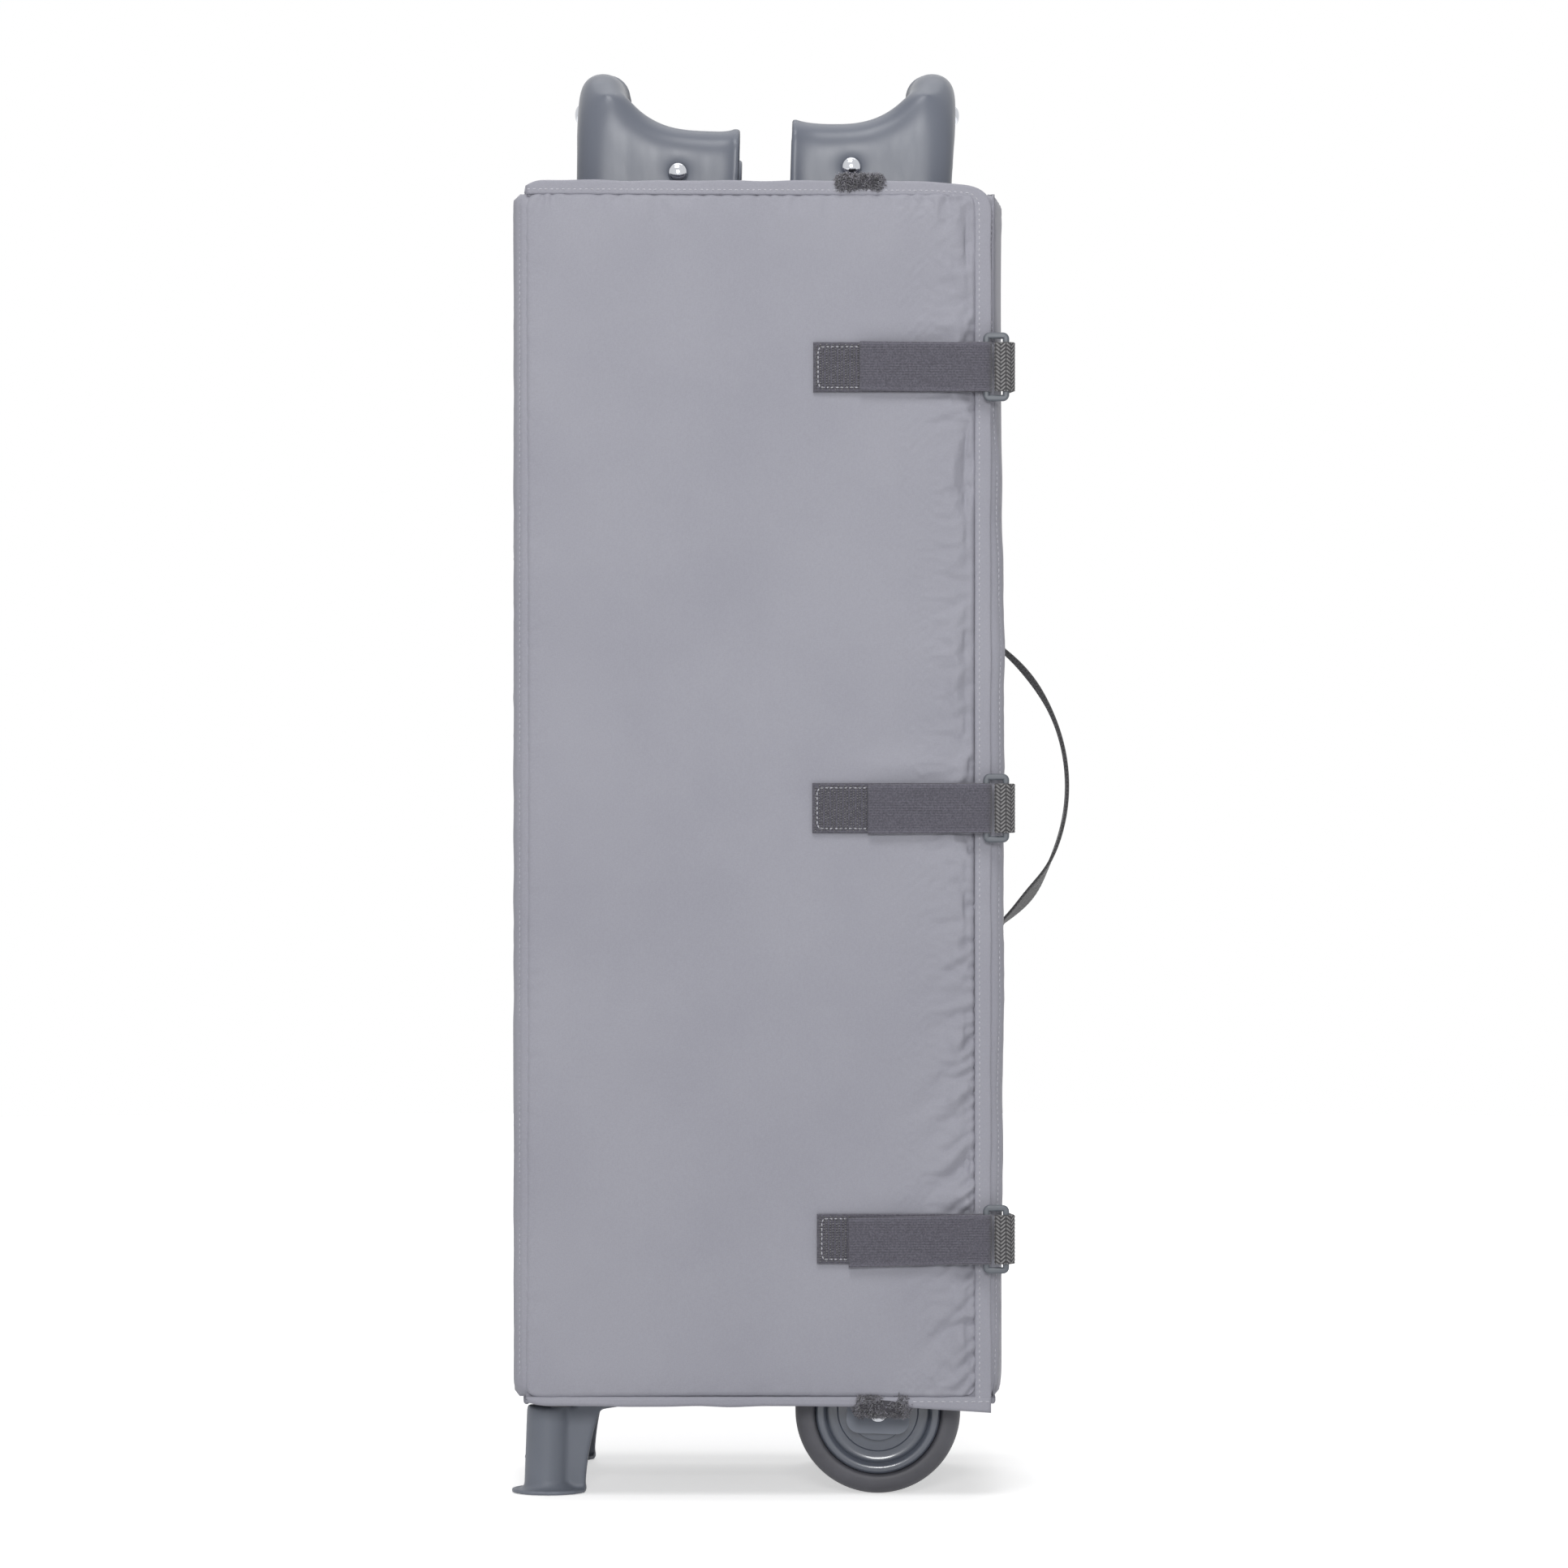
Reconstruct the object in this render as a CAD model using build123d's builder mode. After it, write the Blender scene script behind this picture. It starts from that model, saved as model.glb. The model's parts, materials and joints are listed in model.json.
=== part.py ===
from build123d import *

import os
from math import cos, hypot, pi, radians, sin, tan

# A folding playpen packed for carrying: the folded frame stands on two feet and two wheels
# inside its own four-panel mattress, which wraps it and is closed by three cinch straps.
# Millimetres and degrees. +X is right, +Y is away from the viewer, +Z is up.
# The origin is on the floor, under the middle of the whole object.

os.makedirs("parts", exist_ok=True)

# Mattress wrap
WRAP_WIDTH = 266.0
WRAP_DEPTH = 258.0
WRAP_HEIGHT = 660.0
WRAP_BOTTOM = 50.0
PANEL_THICK = 12.4
PANEL_CROWN = 1.2
ROLL_DROP = 3.5
ROLL_WIDTH = 20.0
DRAW_IN = 1.5
CORNER_STEP = 6.5
MITRE_GAP = 0.4
HEM_WIDTH = 7.0
CLOSING_HEM = 8.5
HEM_THICK = 2.2
HEM_CORNER = 5.0
BOARD_THICK = 3.0
BOARD_MARGIN = 18.0
BOARD_COVER = 4.4
BOARD_FIT = 0.3

# Cinch straps, their rings and the tabs that hold the rings
STRAP_WIDTH = 27.0
STRAP_THICK = 1.6
STRAP_HEIGHTS = {"upper": 609.0, "middle": 372.0, "lower": 140.5}
STRAP_SEWN_ENDS = {"upper": 29.0, "middle": 28.5, "lower": 31.0}
STRAP_FREE_ENDS = {"upper": 54.0, "middle": 58.5, "lower": 48.0}
STRAP_RAMP = 11.0
STRAP_RETURN = 5.0
RING_OVERHANG = 1.25
RING_WIDTH = 14.0
RING_HEIGHT = 37.0
RING_THICK = 3.0
RING_BAR = 3.5
RING_FILLET = 1.2
FOLD_RADIUS = 3.0
TAB_LENGTH = 62.0
TAB_TUCK = 20.0
CLOTH_GAP = 0.3

# Carry handle
HANDLE_SPAN = 153.0
HANDLE_BULGE = 39.0
HANDLE_WIDTH = 20.0
HANDLE_THICK = 1.8
HANDLE_SEWN = 26.0
HANDLE_START = 1.0
HANDLE_LAND = 1.0
HANDLE_SWING = 20.0
HANDLE_HEIGHT = 384.0

# Loop-pile tabs on the front panel's hems: offset from the middle, width and how far they stand out
PILE_THICK = 2.6
PILE_TABS = {"top": (54.0, 28.0, 3.6), "bottom": (66.0, 32.0, 6.5)}

# Folded frame
FRAME_SHIFT = -22.3
FRAME_LEAN = 2.0
POST_MARGIN_X = 43.0
POST_MARGIN_Y = 41.0
POST_RADIUS = 10.0
POST_WALL = 1.2
FIT = 0.15

# Top corner brackets
ARM_WIDTH = 25.0
ARM_DEPTH = 49.0
MOUTH_GAP = 12.0
ARM_WALL = 2.6
ARM_ROUND = 12.0
FRONT_ARM_TOP = 743.0
SIDE_ARM_TOP = 778.0
SWEEP_START = 49.0
SWEEP_RISE = 19.0
ELBOW_RADIUS = 35.0
CREST_FALL = 6.0
ROOF_FALL = 8.0
SOCKET_DEPTH = 80.0
RIM_PROUD = 1.2
RIM_WIDTH = 4.0

# Folding rails and their centre latches
RAIL_LENGTH_X = 412.0
RAIL_LENGTH_Y = 262.0
RAIL_DEPTH = 25.0
RAIL_THICK = 18.0
RAIL_WALL = 1.2
RAIL_END = 11.0
PIVOT_INSET = 43.0
PIVOT_DROP = 24.5
LATCH_HEIGHT = 28.0
LATCH_CHEEK = 3.0
LATCH_RUN = 0.5
LATCH_BLOCK = 40.0
LATCH_EDGE = 1.0
BUTTON_RADIUS = 7.5
BUTTON_PROUD = 6.0
BUTTON_STEM = 12.0
BUTTON_TRAVEL = 4.0
BUTTON_FIT = 0.1
BUTTON_EDGE = 2.0

# Rivets and pins
RIVET_RADIUS = 3.0
RIVET_HEAD = 5.3
RIVET_DOME = 3.2
HEAD_GAP = 0.05
HEAD_SEAT = 0.5

# Base tubes, the hub they fold up to and its pull strap
BASE_INSET = 26.0
BASE_HEIGHT = 58.0
BASE_RADIUS = 8.0
BASE_WALL = 1.2
BASE_END = 8.0
KNUCKLE_RADIUS = 13.0
KNUCKLE_RISE = 12.0
KNUCKLE_RUN = 0.4
KNUCKLE_END = 1.5
HUB_RADIUS = 46.0
HUB_ARM_RADIUS = 16.0
HUB_DISH = 6.0
HUB_DISH_RADIUS = 34.0
PULL_WIDTH = 25.0
PULL_THICK = 2.0
PULL_SPAN = 44.0
PULL_RISE = 14.0

# Feet
FOOT_RADIUS = 11.8
FOOT_SHIFT = 4.0
FOOT_TOP = 47.0
SOLE_RADIUS = 20.5
SOLE_SHIFT = 2.0
SOLE_THICK = 3.0
SOLE_FLARE = 9.0
SOLE_TUCK = 1.5
WEB_THICK = 10.0
WEB_BOTTOM = 21.5
WEB_TOP = 28.5
NECK_GAP = 0.5
SPIGOT_LENGTH = 40.0
SPIGOT_ROOT = 3.0

# Wheels and the legs that carry them
WHEEL_RADIUS = 44.8
WHEEL_WIDTH = 24.0
WHEEL_SHIFT = 5.0
TYRE_BORE = 34.2
TYRE_ROUND = 7.0
LIP_RADIUS = 28.0
STEP_RADIUS = 21.8
BOSS_RADIUS = 15.8
LIP_RECESS = 1.0
STEP_RECESS = 4.5
DISC_RECESS = 6.5
AXLE_RADIUS = 4.0
AXLE_HEAD = 5.5
AXLE_RUN = 0.08
WHEEL_RUN = 0.6
CHEEK_THICK = 4.0
CHEEK_WIDTH = 34.0
CHEEK_DROP = 11.5
CHEEK_CORNER = 7.0
CROWN_GAP = 3.0
CROWN_THICK = 12.0
LEG_RADIUS = 13.5
LEG_SOCKET = 52.0

# Slack cloth of the walls and the floor, gathered between the folded rails
CLOTH_THICK = 4.0
CLOTH_FOLDS = 6
CLOTH_WAVE = 4.5
CLOTH_CLEAR = 3.0
GATHER_RADIUS = 37.0
GATHER_WAVE = 6.0
GATHER_FOLDS = 18
GATHER_BOTTOM = 75.0

# Places that follow from the driving dimensions
STRAP_STANDOFF = CLOTH_GAP + STRAP_THICK + 2 * FOLD_RADIUS
WRAP_X = -HANDLE_BULGE / 2
WRAP_Y = STRAP_STANDOFF / 2
WRAP_MIDDLE = WRAP_BOTTOM + WRAP_HEIGHT / 2
PAD_HEIGHT = WRAP_HEIGHT - 2 * HEM_WIDTH
FRONT_FACE = WRAP_Y - WRAP_DEPTH / 2
REAR_FACE = WRAP_Y + WRAP_DEPTH / 2
LEFT_FACE = WRAP_X - WRAP_WIDTH / 2
RIGHT_FACE = WRAP_X + WRAP_WIDTH / 2

LEAN_X = Vector(cos(radians(FRAME_LEAN)), 0, -sin(radians(FRAME_LEAN)))
LEAN_Y = Vector(0, 1, 0)
LEAN_Z = Vector(sin(radians(FRAME_LEAN)), 0, cos(radians(FRAME_LEAN)))

POST_SPACING_X = WRAP_WIDTH - 2 * POST_MARGIN_X
POST_SPACING_Y = WRAP_DEPTH - 2 * POST_MARGIN_Y
ARM_REACH = min(POST_SPACING_X, POST_SPACING_Y) / 2 - MOUTH_GAP
HALF_ARM = ARM_WIDTH / 2
FRONT_PIVOT = FRONT_ARM_TOP - PIVOT_DROP
SIDE_PIVOT = SIDE_ARM_TOP - PIVOT_DROP
FRONT_LATCH = FRONT_PIVOT - RAIL_LENGTH_X
SIDE_LATCH = SIDE_PIVOT - RAIL_LENGTH_Y
LATCH_SLOT = RAIL_THICK + 2 * LATCH_RUN
LATCH_WIDTH = LATCH_SLOT + 2 * LATCH_CHEEK
POST_TOP = FRONT_ARM_TOP - ARM_WALL
BASE_LENGTH = hypot(RAIL_LENGTH_X, RAIL_LENGTH_Y)
HUB_HEIGHT = BASE_HEIGHT + BASE_LENGTH
KNUCKLE_BOTTOM = BASE_HEIGHT - KNUCKLE_RISE
KNUCKLE_TOP = BASE_HEIGHT + KNUCKLE_RISE
KNUCKLE_SLOT = 2 * (BASE_RADIUS + KNUCKLE_RUN)
AXLE_HEIGHT = WHEEL_RADIUS / cos(radians(FRAME_LEAN))
FORK_INSIDE = WHEEL_WIDTH / 2 + WHEEL_RUN
FORK_OUTSIDE = FORK_INSIDE + CHEEK_THICK
CROWN_BOTTOM = AXLE_HEIGHT + WHEEL_RADIUS + CROWN_GAP
CROWN_TOP = CROWN_BOTTOM + CROWN_THICK

SIDES_X = {"left": -1, "right": 1}
SIDES_Y = {"front": -1, "rear": 1}
CORNERS = [(f"{y}_{x}", SIDES_X[x], SIDES_Y[y]) for y in SIDES_Y for x in SIDES_X]


def lean_plane(x, y):
    """A plane square to the leaning posts, where a line parallel to them meets the floor."""
    return Plane((WRAP_X + FRAME_SHIFT + x, WRAP_Y + y, 0), LEAN_X, LEAN_Z)


def corner_plane(side_x, side_y):
    return lean_plane(side_x * POST_SPACING_X / 2, side_y * POST_SPACING_Y / 2)


def swing_plane(side_x, side_y):
    """Origin under a base tube's pivots; local x is the way the tube swings, local y its pin."""
    inset = LEAN_X * (-side_x * BASE_INSET) + LEAN_Y * (-side_y * BASE_INSET)
    inward = LEAN_X * (-side_x * RAIL_LENGTH_X) + LEAN_Y * (-side_y * RAIL_LENGTH_Y)
    return Plane(corner_plane(side_x, side_y).origin + inset, inward, LEAN_Z)


def rail_plane(side_x, side_y, along):
    """Origin under a half rail's pivots; local x lies along that side of the frame."""
    way = LEAN_X if along == "x" else LEAN_Y
    inset = way * (-PIVOT_INSET * (side_x if along == "x" else side_y))
    return Plane(corner_plane(side_x, side_y).origin + inset, way, LEAN_Z)


def side_ends(side, along):
    """The planes under the two half rails of one side, from left to right or front to rear."""
    if along == "x":
        return rail_plane(-1, side, along), rail_plane(1, side, along)
    return rail_plane(side, -1, along), rail_plane(side, 1, along)


def middle_plane(first, second, height):
    """Halfway between two planes and that height up the posts, with local x from one to the other."""
    chord = second.origin - first.origin
    middle = (first.origin + second.origin) / 2 + LEAN_Z * height
    return Plane(middle, chord, chord.cross(first.y_dir))


def pin_plane(plane, height):
    """At that height up a plane, with the plane's local y as its normal: for holes and pins."""
    return Plane(origin=plane.origin + LEAN_Z * height, x_dir=plane.x_dir, z_dir=plane.y_dir)


def save(piece, name):
    piece.part.label = name
    export_step(piece.part, f"parts/{name}.step")


def rivet(plane, grip, shank, head):
    """A rivet with a dome on both ends, its axis along the plane's normal."""
    half = grip / 2 + HEAD_GAP
    tip = half + RIVET_DOME
    section = Plane(origin=plane.origin, x_dir=plane.x_dir, z_dir=plane.x_dir.cross(plane.z_dir))
    with BuildPart() as made:
        with BuildSketch(section):
            with BuildLine():
                Line((0, tip), (0, -tip))
                TangentArc((0, -tip), (head, -half), tangent=(1, 0))
                Polyline((head, -half), (shank, -half), (shank, half), (head, half))
                TangentArc((0, tip), (head, half), tangent=(1, 0))
            make_face()
        revolve(axis=Axis(plane.origin, plane.z_dir))
    return made.part


# Mattress panels: a pad with a crowned face, rolled edges and drawn-in sides, sewn hems and a
# pocket for the board. Each panel's plane lies on its outer face, with local y up or down.


def pad_section(start, end):
    """Across a panel, as seen from its end: crowned face, rolled edges, mitred where it folds."""
    middle = (start + end) / 2
    edge = CORNER_STEP - MITRE_GAP
    inner = PANEL_THICK - edge
    with BuildLine() as outline:
        ThreePointArc((start + ROLL_WIDTH, -PANEL_CROWN), (middle, 0), (end - ROLL_WIDTH, -PANEL_CROWN))
        TangentArc((end - ROLL_WIDTH, -PANEL_CROWN), (end, -ROLL_DROP), tangent=(1, 0))
        Polyline(
            (end, -ROLL_DROP),
            (end, -edge),
            (end - inner, -PANEL_THICK),
            (start + inner, -PANEL_THICK),
            (start, -edge),
            (start, -ROLL_DROP),
        )
        TangentArc((start + ROLL_WIDTH, -PANEL_CROWN), (start, -ROLL_DROP), tangent=(-1, 0))
    return outline.line


def pad_profile():
    """Along a panel, from its lower to its upper edge: flat, with rolled edges."""
    half = PAD_HEIGHT / 2
    with BuildLine() as outline:
        Line((ROLL_WIDTH - half, 0), (half - ROLL_WIDTH, 0))
        TangentArc((half - ROLL_WIDTH, 0), (half, -ROLL_DROP), tangent=(1, 0))
        Polyline((half, -ROLL_DROP), (half, -PANEL_THICK), (-half, -PANEL_THICK), (-half, -ROLL_DROP))
        TangentArc((ROLL_WIDTH - half, 0), (-half, -ROLL_DROP), tangent=(-1, 0))
    return outline.line


def pad_outline(start, end):
    """A panel's pad seen face on, its four sides drawn in between the corners."""
    middle = (start + end) / 2
    half = PAD_HEIGHT / 2
    with BuildLine() as outline:
        ThreePointArc((start, half), (middle, half - DRAW_IN), (end, half))
        ThreePointArc((end, half), (end - DRAW_IN, 0), (end, -half))
        ThreePointArc((end, -half), (middle, DRAW_IN - half), (start, -half))
        ThreePointArc((start, -half), (start + DRAW_IN, 0), (start, half))
    return outline.line


def pad_spread(width, closing):
    """Where a pad starts and ends across its panel, short of the hem on a closing edge."""
    half = width / 2 - CORNER_STEP
    return -half, half - (CLOSING_HEM if closing else 0)


def mattress_panel(plane, width, closing):
    start, end = pad_spread(width, closing)
    hem_end = width / 2 - CORNER_STEP
    across = Plane(origin=plane.origin, x_dir=plane.x_dir, z_dir=plane.x_dir.cross(plane.z_dir))
    along = Plane(origin=plane.origin, x_dir=plane.y_dir, z_dir=plane.y_dir.cross(plane.z_dir))
    with BuildPart() as made:
        with BuildSketch(across):
            add(pad_section(start, end))
            make_face()
        extrude(amount=PAD_HEIGHT / 2, both=True)
        with BuildSketch(along):
            add(pad_profile())
            make_face()
        extrude(amount=width, both=True, mode=Mode.INTERSECT)
        with BuildSketch(plane):
            add(pad_outline(start, end))
            make_face()
        extrude(amount=PANEL_THICK, both=True, mode=Mode.INTERSECT)
        with BuildSketch(plane.offset(-ROLL_DROP - HEM_THICK)):
            with Locations(((start + hem_end) / 2, 0)):
                RectangleRounded(hem_end - start, WRAP_HEIGHT, HEM_CORNER)
        extrude(amount=HEM_THICK)
        with BuildSketch(plane.offset(-BOARD_COVER)):
            with Locations(((start + end) / 2, 0)):
                Rectangle(end - start - 2 * BOARD_MARGIN, PAD_HEIGHT - 2 * BOARD_MARGIN)
        extrude(amount=-BOARD_THICK - 2 * BOARD_FIT, mode=Mode.SUBTRACT)
    return made


def panel_board(plane, width, closing):
    """The stiff board in a panel's pocket."""
    start, end = pad_spread(width, closing)
    room = BOARD_MARGIN + BOARD_FIT
    with BuildPart() as made:
        with BuildSketch(plane.offset(-BOARD_COVER - BOARD_FIT)):
            with Locations(((start + end) / 2, 0)):
                Rectangle(end - start - 2 * room, PAD_HEIGHT - 2 * room)
        extrude(amount=-BOARD_THICK)
    return made.part


PANELS = {
    "front": (Plane((WRAP_X, FRONT_FACE, WRAP_MIDDLE), (1, 0, 0), (0, -1, 0)), WRAP_WIDTH, True),
    "left": (Plane((LEFT_FACE, WRAP_Y, WRAP_MIDDLE), (0, -1, 0), (-1, 0, 0)), WRAP_DEPTH, False),
    "rear": (Plane((WRAP_X, REAR_FACE, WRAP_MIDDLE), (1, 0, 0), (0, 1, 0)), WRAP_WIDTH, False),
    "right": (Plane((RIGHT_FACE, WRAP_Y, WRAP_MIDDLE), (0, -1, 0), (1, 0, 0)), WRAP_DEPTH, True),
}

for side, layout in PANELS.items():
    save(mattress_panel(*layout), f"mattress_panel_{side}")

with BuildPart() as mattress_boards:
    for layout in PANELS.values():
        add(panel_board(*layout))
save(mattress_boards, "mattress_boards")


# Cinch straps, rings and ring tabs, drawn as seen from above and then raised to their width

BASE_LINE = FRONT_FACE - CLOTH_GAP - STRAP_THICK / 2
FLAP_LINE = BASE_LINE - STRAP_THICK - CLOTH_GAP
BAR_LINE = BASE_LINE - FOLD_RADIUS
RETURN_LINE = BAR_LINE - FOLD_RADIUS
RING_RIGHT = RIGHT_FACE + RING_OVERHANG
RING_MIDDLE = RING_RIGHT - RING_WIDTH / 2
STRAP_BAR = RING_RIGHT - RING_WIDTH + RING_BAR / 2
TAB_BAR = RING_RIGHT - RING_BAR / 2
FLAP_HINGE = STRAP_BAR - STRAP_RETURN
TAB_LINE = RIGHT_FACE + CLOTH_GAP + STRAP_THICK / 2


def band(line, height):
    """A strap that follows a line seen from above, standing on edge about a height."""
    with BuildPart() as made:
        with BuildSketch(Plane.XY.offset(height - STRAP_WIDTH / 2)):
            add(line.line)
            trace(line_width=STRAP_THICK)
        extrude(amount=STRAP_WIDTH)
    return made


for place, height in STRAP_HEIGHTS.items():
    with BuildLine() as base_line:
        Line((WRAP_X + STRAP_SEWN_ENDS[place], BASE_LINE), (STRAP_BAR, BASE_LINE))
        ThreePointArc((STRAP_BAR, BASE_LINE), (STRAP_BAR + FOLD_RADIUS, BAR_LINE), (STRAP_BAR, RETURN_LINE))
        Line((STRAP_BAR, RETURN_LINE), (FLAP_HINGE, RETURN_LINE))
    save(band(base_line, height), f"strap_{place}_base")

    with BuildLine() as flap_line:
        Polyline(
            (FLAP_HINGE - CLOTH_GAP, RETURN_LINE),
            (FLAP_HINGE - STRAP_RAMP, FLAP_LINE),
            (WRAP_X + STRAP_FREE_ENDS[place], FLAP_LINE),
        )
    save(band(flap_line, height), f"strap_{place}_flap")

with BuildPart() as strap_rings:
    for height in STRAP_HEIGHTS.values():
        with BuildSketch(Plane((RING_MIDDLE, BAR_LINE, height), (1, 0, 0), (0, -1, 0))):
            RectangleRounded(RING_WIDTH, RING_HEIGHT, RING_BAR)
            Rectangle(RING_WIDTH - 2 * RING_BAR, RING_HEIGHT - 2 * RING_BAR, mode=Mode.SUBTRACT)
        extrude(amount=RING_THICK / 2, both=True)
    fillet(strap_rings.faces().filter_by(Axis.Y).edges(), RING_FILLET)
save(strap_rings, "strap_rings")

with BuildLine() as tab_line:
    Polyline(
        (TAB_LINE, BAR_LINE + TAB_LENGTH),
        (TAB_LINE, BAR_LINE + TAB_TUCK),
        (TAB_BAR + FOLD_RADIUS, BAR_LINE),
    )
    ThreePointArc(
        (TAB_BAR + FOLD_RADIUS, BAR_LINE),
        (TAB_BAR, BAR_LINE - FOLD_RADIUS),
        (TAB_BAR - FOLD_RADIUS, BAR_LINE),
    )

with BuildPart() as ring_tabs:
    for height in STRAP_HEIGHTS.values():
        add(band(tab_line, height).part)
save(ring_tabs, "ring_tabs")


# Carry handle: webbing ends sewn on the right panel, and the loop that swings on them, tapered
# where it leaves the panel so that its edges clear the panel over the whole swing

HANDLE_LINE = RIGHT_FACE + CLOTH_GAP + HANDLE_THICK / 2
HANDLE_TIP = RIGHT_FACE + HANDLE_BULGE - HANDLE_THICK / 2
HANDLE_REACH = HANDLE_TIP - HANDLE_LINE
HANDLE_ARC = ((HANDLE_SPAN / 2) ** 2 + HANDLE_REACH**2) / (2 * HANDLE_REACH)


def loop_height(reach):
    """Half the loop's height where it stands that far off the panel."""
    return (HANDLE_ARC**2 - (HANDLE_ARC - HANDLE_REACH + reach) ** 2) ** 0.5


def webbing(line):
    """Handle webbing that follows a line in the upright plane through the handle."""
    with BuildPart() as made:
        with BuildSketch(Plane((0, WRAP_Y, HANDLE_HEIGHT), (1, 0, 0), (0, -1, 0))):
            add(line.line)
            trace(line_width=HANDLE_THICK)
        extrude(amount=HANDLE_WIDTH / 2, both=True)
    return made


with BuildLine() as loop_line:
    ThreePointArc(
        (HANDLE_LINE + HANDLE_START, loop_height(HANDLE_START)),
        (HANDLE_TIP, 0),
        (HANDLE_LINE + HANDLE_START, -loop_height(HANDLE_START)),
    )

with BuildPart() as handle_loop:
    add(webbing(loop_line).part)
    with BuildSketch(Plane((HANDLE_LINE, WRAP_Y, HANDLE_HEIGHT))):
        with BuildLine():
            edge = HANDLE_WIDTH / 2
            taper = (edge - HANDLE_LAND) * tan(radians(HANDLE_SWING))
            Polyline(
                (0, HANDLE_LAND),
                (taper, edge),
                (HANDLE_BULGE, edge),
                (HANDLE_BULGE, -edge),
                (taper, -edge),
                (0, -HANDLE_LAND),
                close=True,
            )
        make_face()
    extrude(amount=HANDLE_SPAN, both=True, mode=Mode.INTERSECT)
save(handle_loop, "handle_loop")

with BuildPart() as handle_ends:
    for way in (1, -1):
        with BuildLine(mode=Mode.PRIVATE) as end_line:
            Line(
                (HANDLE_LINE, way * (HANDLE_SPAN / 2 + HANDLE_SEWN)),
                (HANDLE_LINE, way * (HANDLE_SPAN / 2 + CLOTH_GAP)),
            )
        add(webbing(end_line).part)
save(handle_ends, "handle_ends")


# Loop-pile tabs, folded over the front panel's upper and lower hems

with BuildPart() as loop_pile_tabs:
    for edge, (offset, width, overhang) in PILE_TABS.items():
        hem = WRAP_BOTTOM + (WRAP_HEIGHT if edge == "top" else 0)
        inward = -1 if edge == "top" else 1
        seam = hem + inward * (HEM_WIDTH - CLOTH_GAP)
        near = FRONT_FACE + ROLL_DROP - CLOTH_GAP
        far = near + HEM_THICK + 2 * CLOTH_GAP
        with BuildSketch(Plane((WRAP_X + offset, 0, 0), (0, 1, 0), (1, 0, 0))):
            with BuildLine():
                Polyline(
                    (near, seam),
                    (near, hem - inward * CLOTH_GAP),
                    (far, hem - inward * CLOTH_GAP),
                    (far, seam),
                    (far + PILE_THICK, seam),
                    (far + PILE_THICK, hem - inward * overhang),
                    (near - PILE_THICK, hem - inward * overhang),
                    (near - PILE_THICK, seam),
                    close=True,
                )
            make_face()
        extrude(amount=width / 2, both=True)
save(loop_pile_tabs, "loop_pile_tabs")


# Posts: round steel tubes, on the feet at the left and in the wheel legs at the right

for corner, side_x, side_y in CORNERS:
    start = FOOT_TOP if side_x < 0 else CROWN_TOP
    with BuildPart() as post:
        with BuildSketch(corner_plane(side_x, side_y).offset(start)):
            Circle(POST_RADIUS)
            Circle(POST_RADIUS - POST_WALL, mode=Mode.SUBTRACT)
        extrude(amount=POST_TOP - start)
    save(post, f"post_{corner}")


# Top corner brackets: one moulding with a level arm along X, a raised elbow arm along Y and a
# socket for the post, drawn for a corner whose inside lies towards +X and +Y

FRONT_ARM_BOTTOM = FRONT_ARM_TOP - ARM_DEPTH
SIDE_ARM_BOTTOM = SIDE_ARM_TOP - ARM_DEPTH
SWEEP_TOP = FRONT_ARM_TOP + SWEEP_RISE
SOCKET_BOTTOM = FRONT_ARM_TOP - SOCKET_DEPTH
MOUTHS = [
    Plane((ARM_REACH, 0, FRONT_ARM_TOP), (0, 1, 0), (1, 0, 0)),
    Plane((0, ARM_REACH, SIDE_ARM_TOP), (-1, 0, 0), (0, 1, 0)),
]

with BuildPart() as front_arm:
    with BuildSketch(Plane.XZ):
        with BuildLine():
            Line((ARM_REACH, FRONT_ARM_TOP), (SWEEP_START, FRONT_ARM_TOP))
            TangentArc((SWEEP_START, FRONT_ARM_TOP), (HALF_ARM, SWEEP_TOP), tangent=(-1, 0))
            Polyline(
                (HALF_ARM, SWEEP_TOP),
                (0, SWEEP_TOP),
                (0, FRONT_ARM_BOTTOM),
                (ARM_REACH, FRONT_ARM_BOTTOM),
                (ARM_REACH, FRONT_ARM_TOP),
            )
        make_face()
    extrude(amount=HALF_ARM, both=True)
    ridge = front_arm.faces().filter_by(Axis.Y).edges()
    level = ridge.filter_by(Axis.X).filter_by_position(Axis.Z, FRONT_ARM_TOP - FIT, FRONT_ARM_TOP + FIT)
    fillet(ridge.filter_by(GeomType.CIRCLE) + level, ARM_ROUND)

with BuildPart() as side_arm:
    with BuildSketch(Plane.YZ) as elbow:
        with BuildLine():
            Polyline(
                (-HALF_ARM, SIDE_ARM_TOP - CREST_FALL),
                (-HALF_ARM, SOCKET_BOTTOM),
                (HALF_ARM, SOCKET_BOTTOM),
                (HALF_ARM, SIDE_ARM_BOTTOM),
                (ARM_REACH, SIDE_ARM_BOTTOM),
                (ARM_REACH, SIDE_ARM_TOP),
                close=True,
            )
        make_face()
        fillet(elbow.vertices().group_by(Axis.X)[0].sort_by(Axis.Y)[-1], ELBOW_RADIUS)
    extrude(amount=HALF_ARM, both=True)
    outline = side_arm.faces().filter_by(Axis.X).edges()
    mouth_edges = outline.group_by(Axis.Y)[-1]
    fillet(outline - outline.filter_by(Axis.Y) - mouth_edges, ARM_ROUND)

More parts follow.
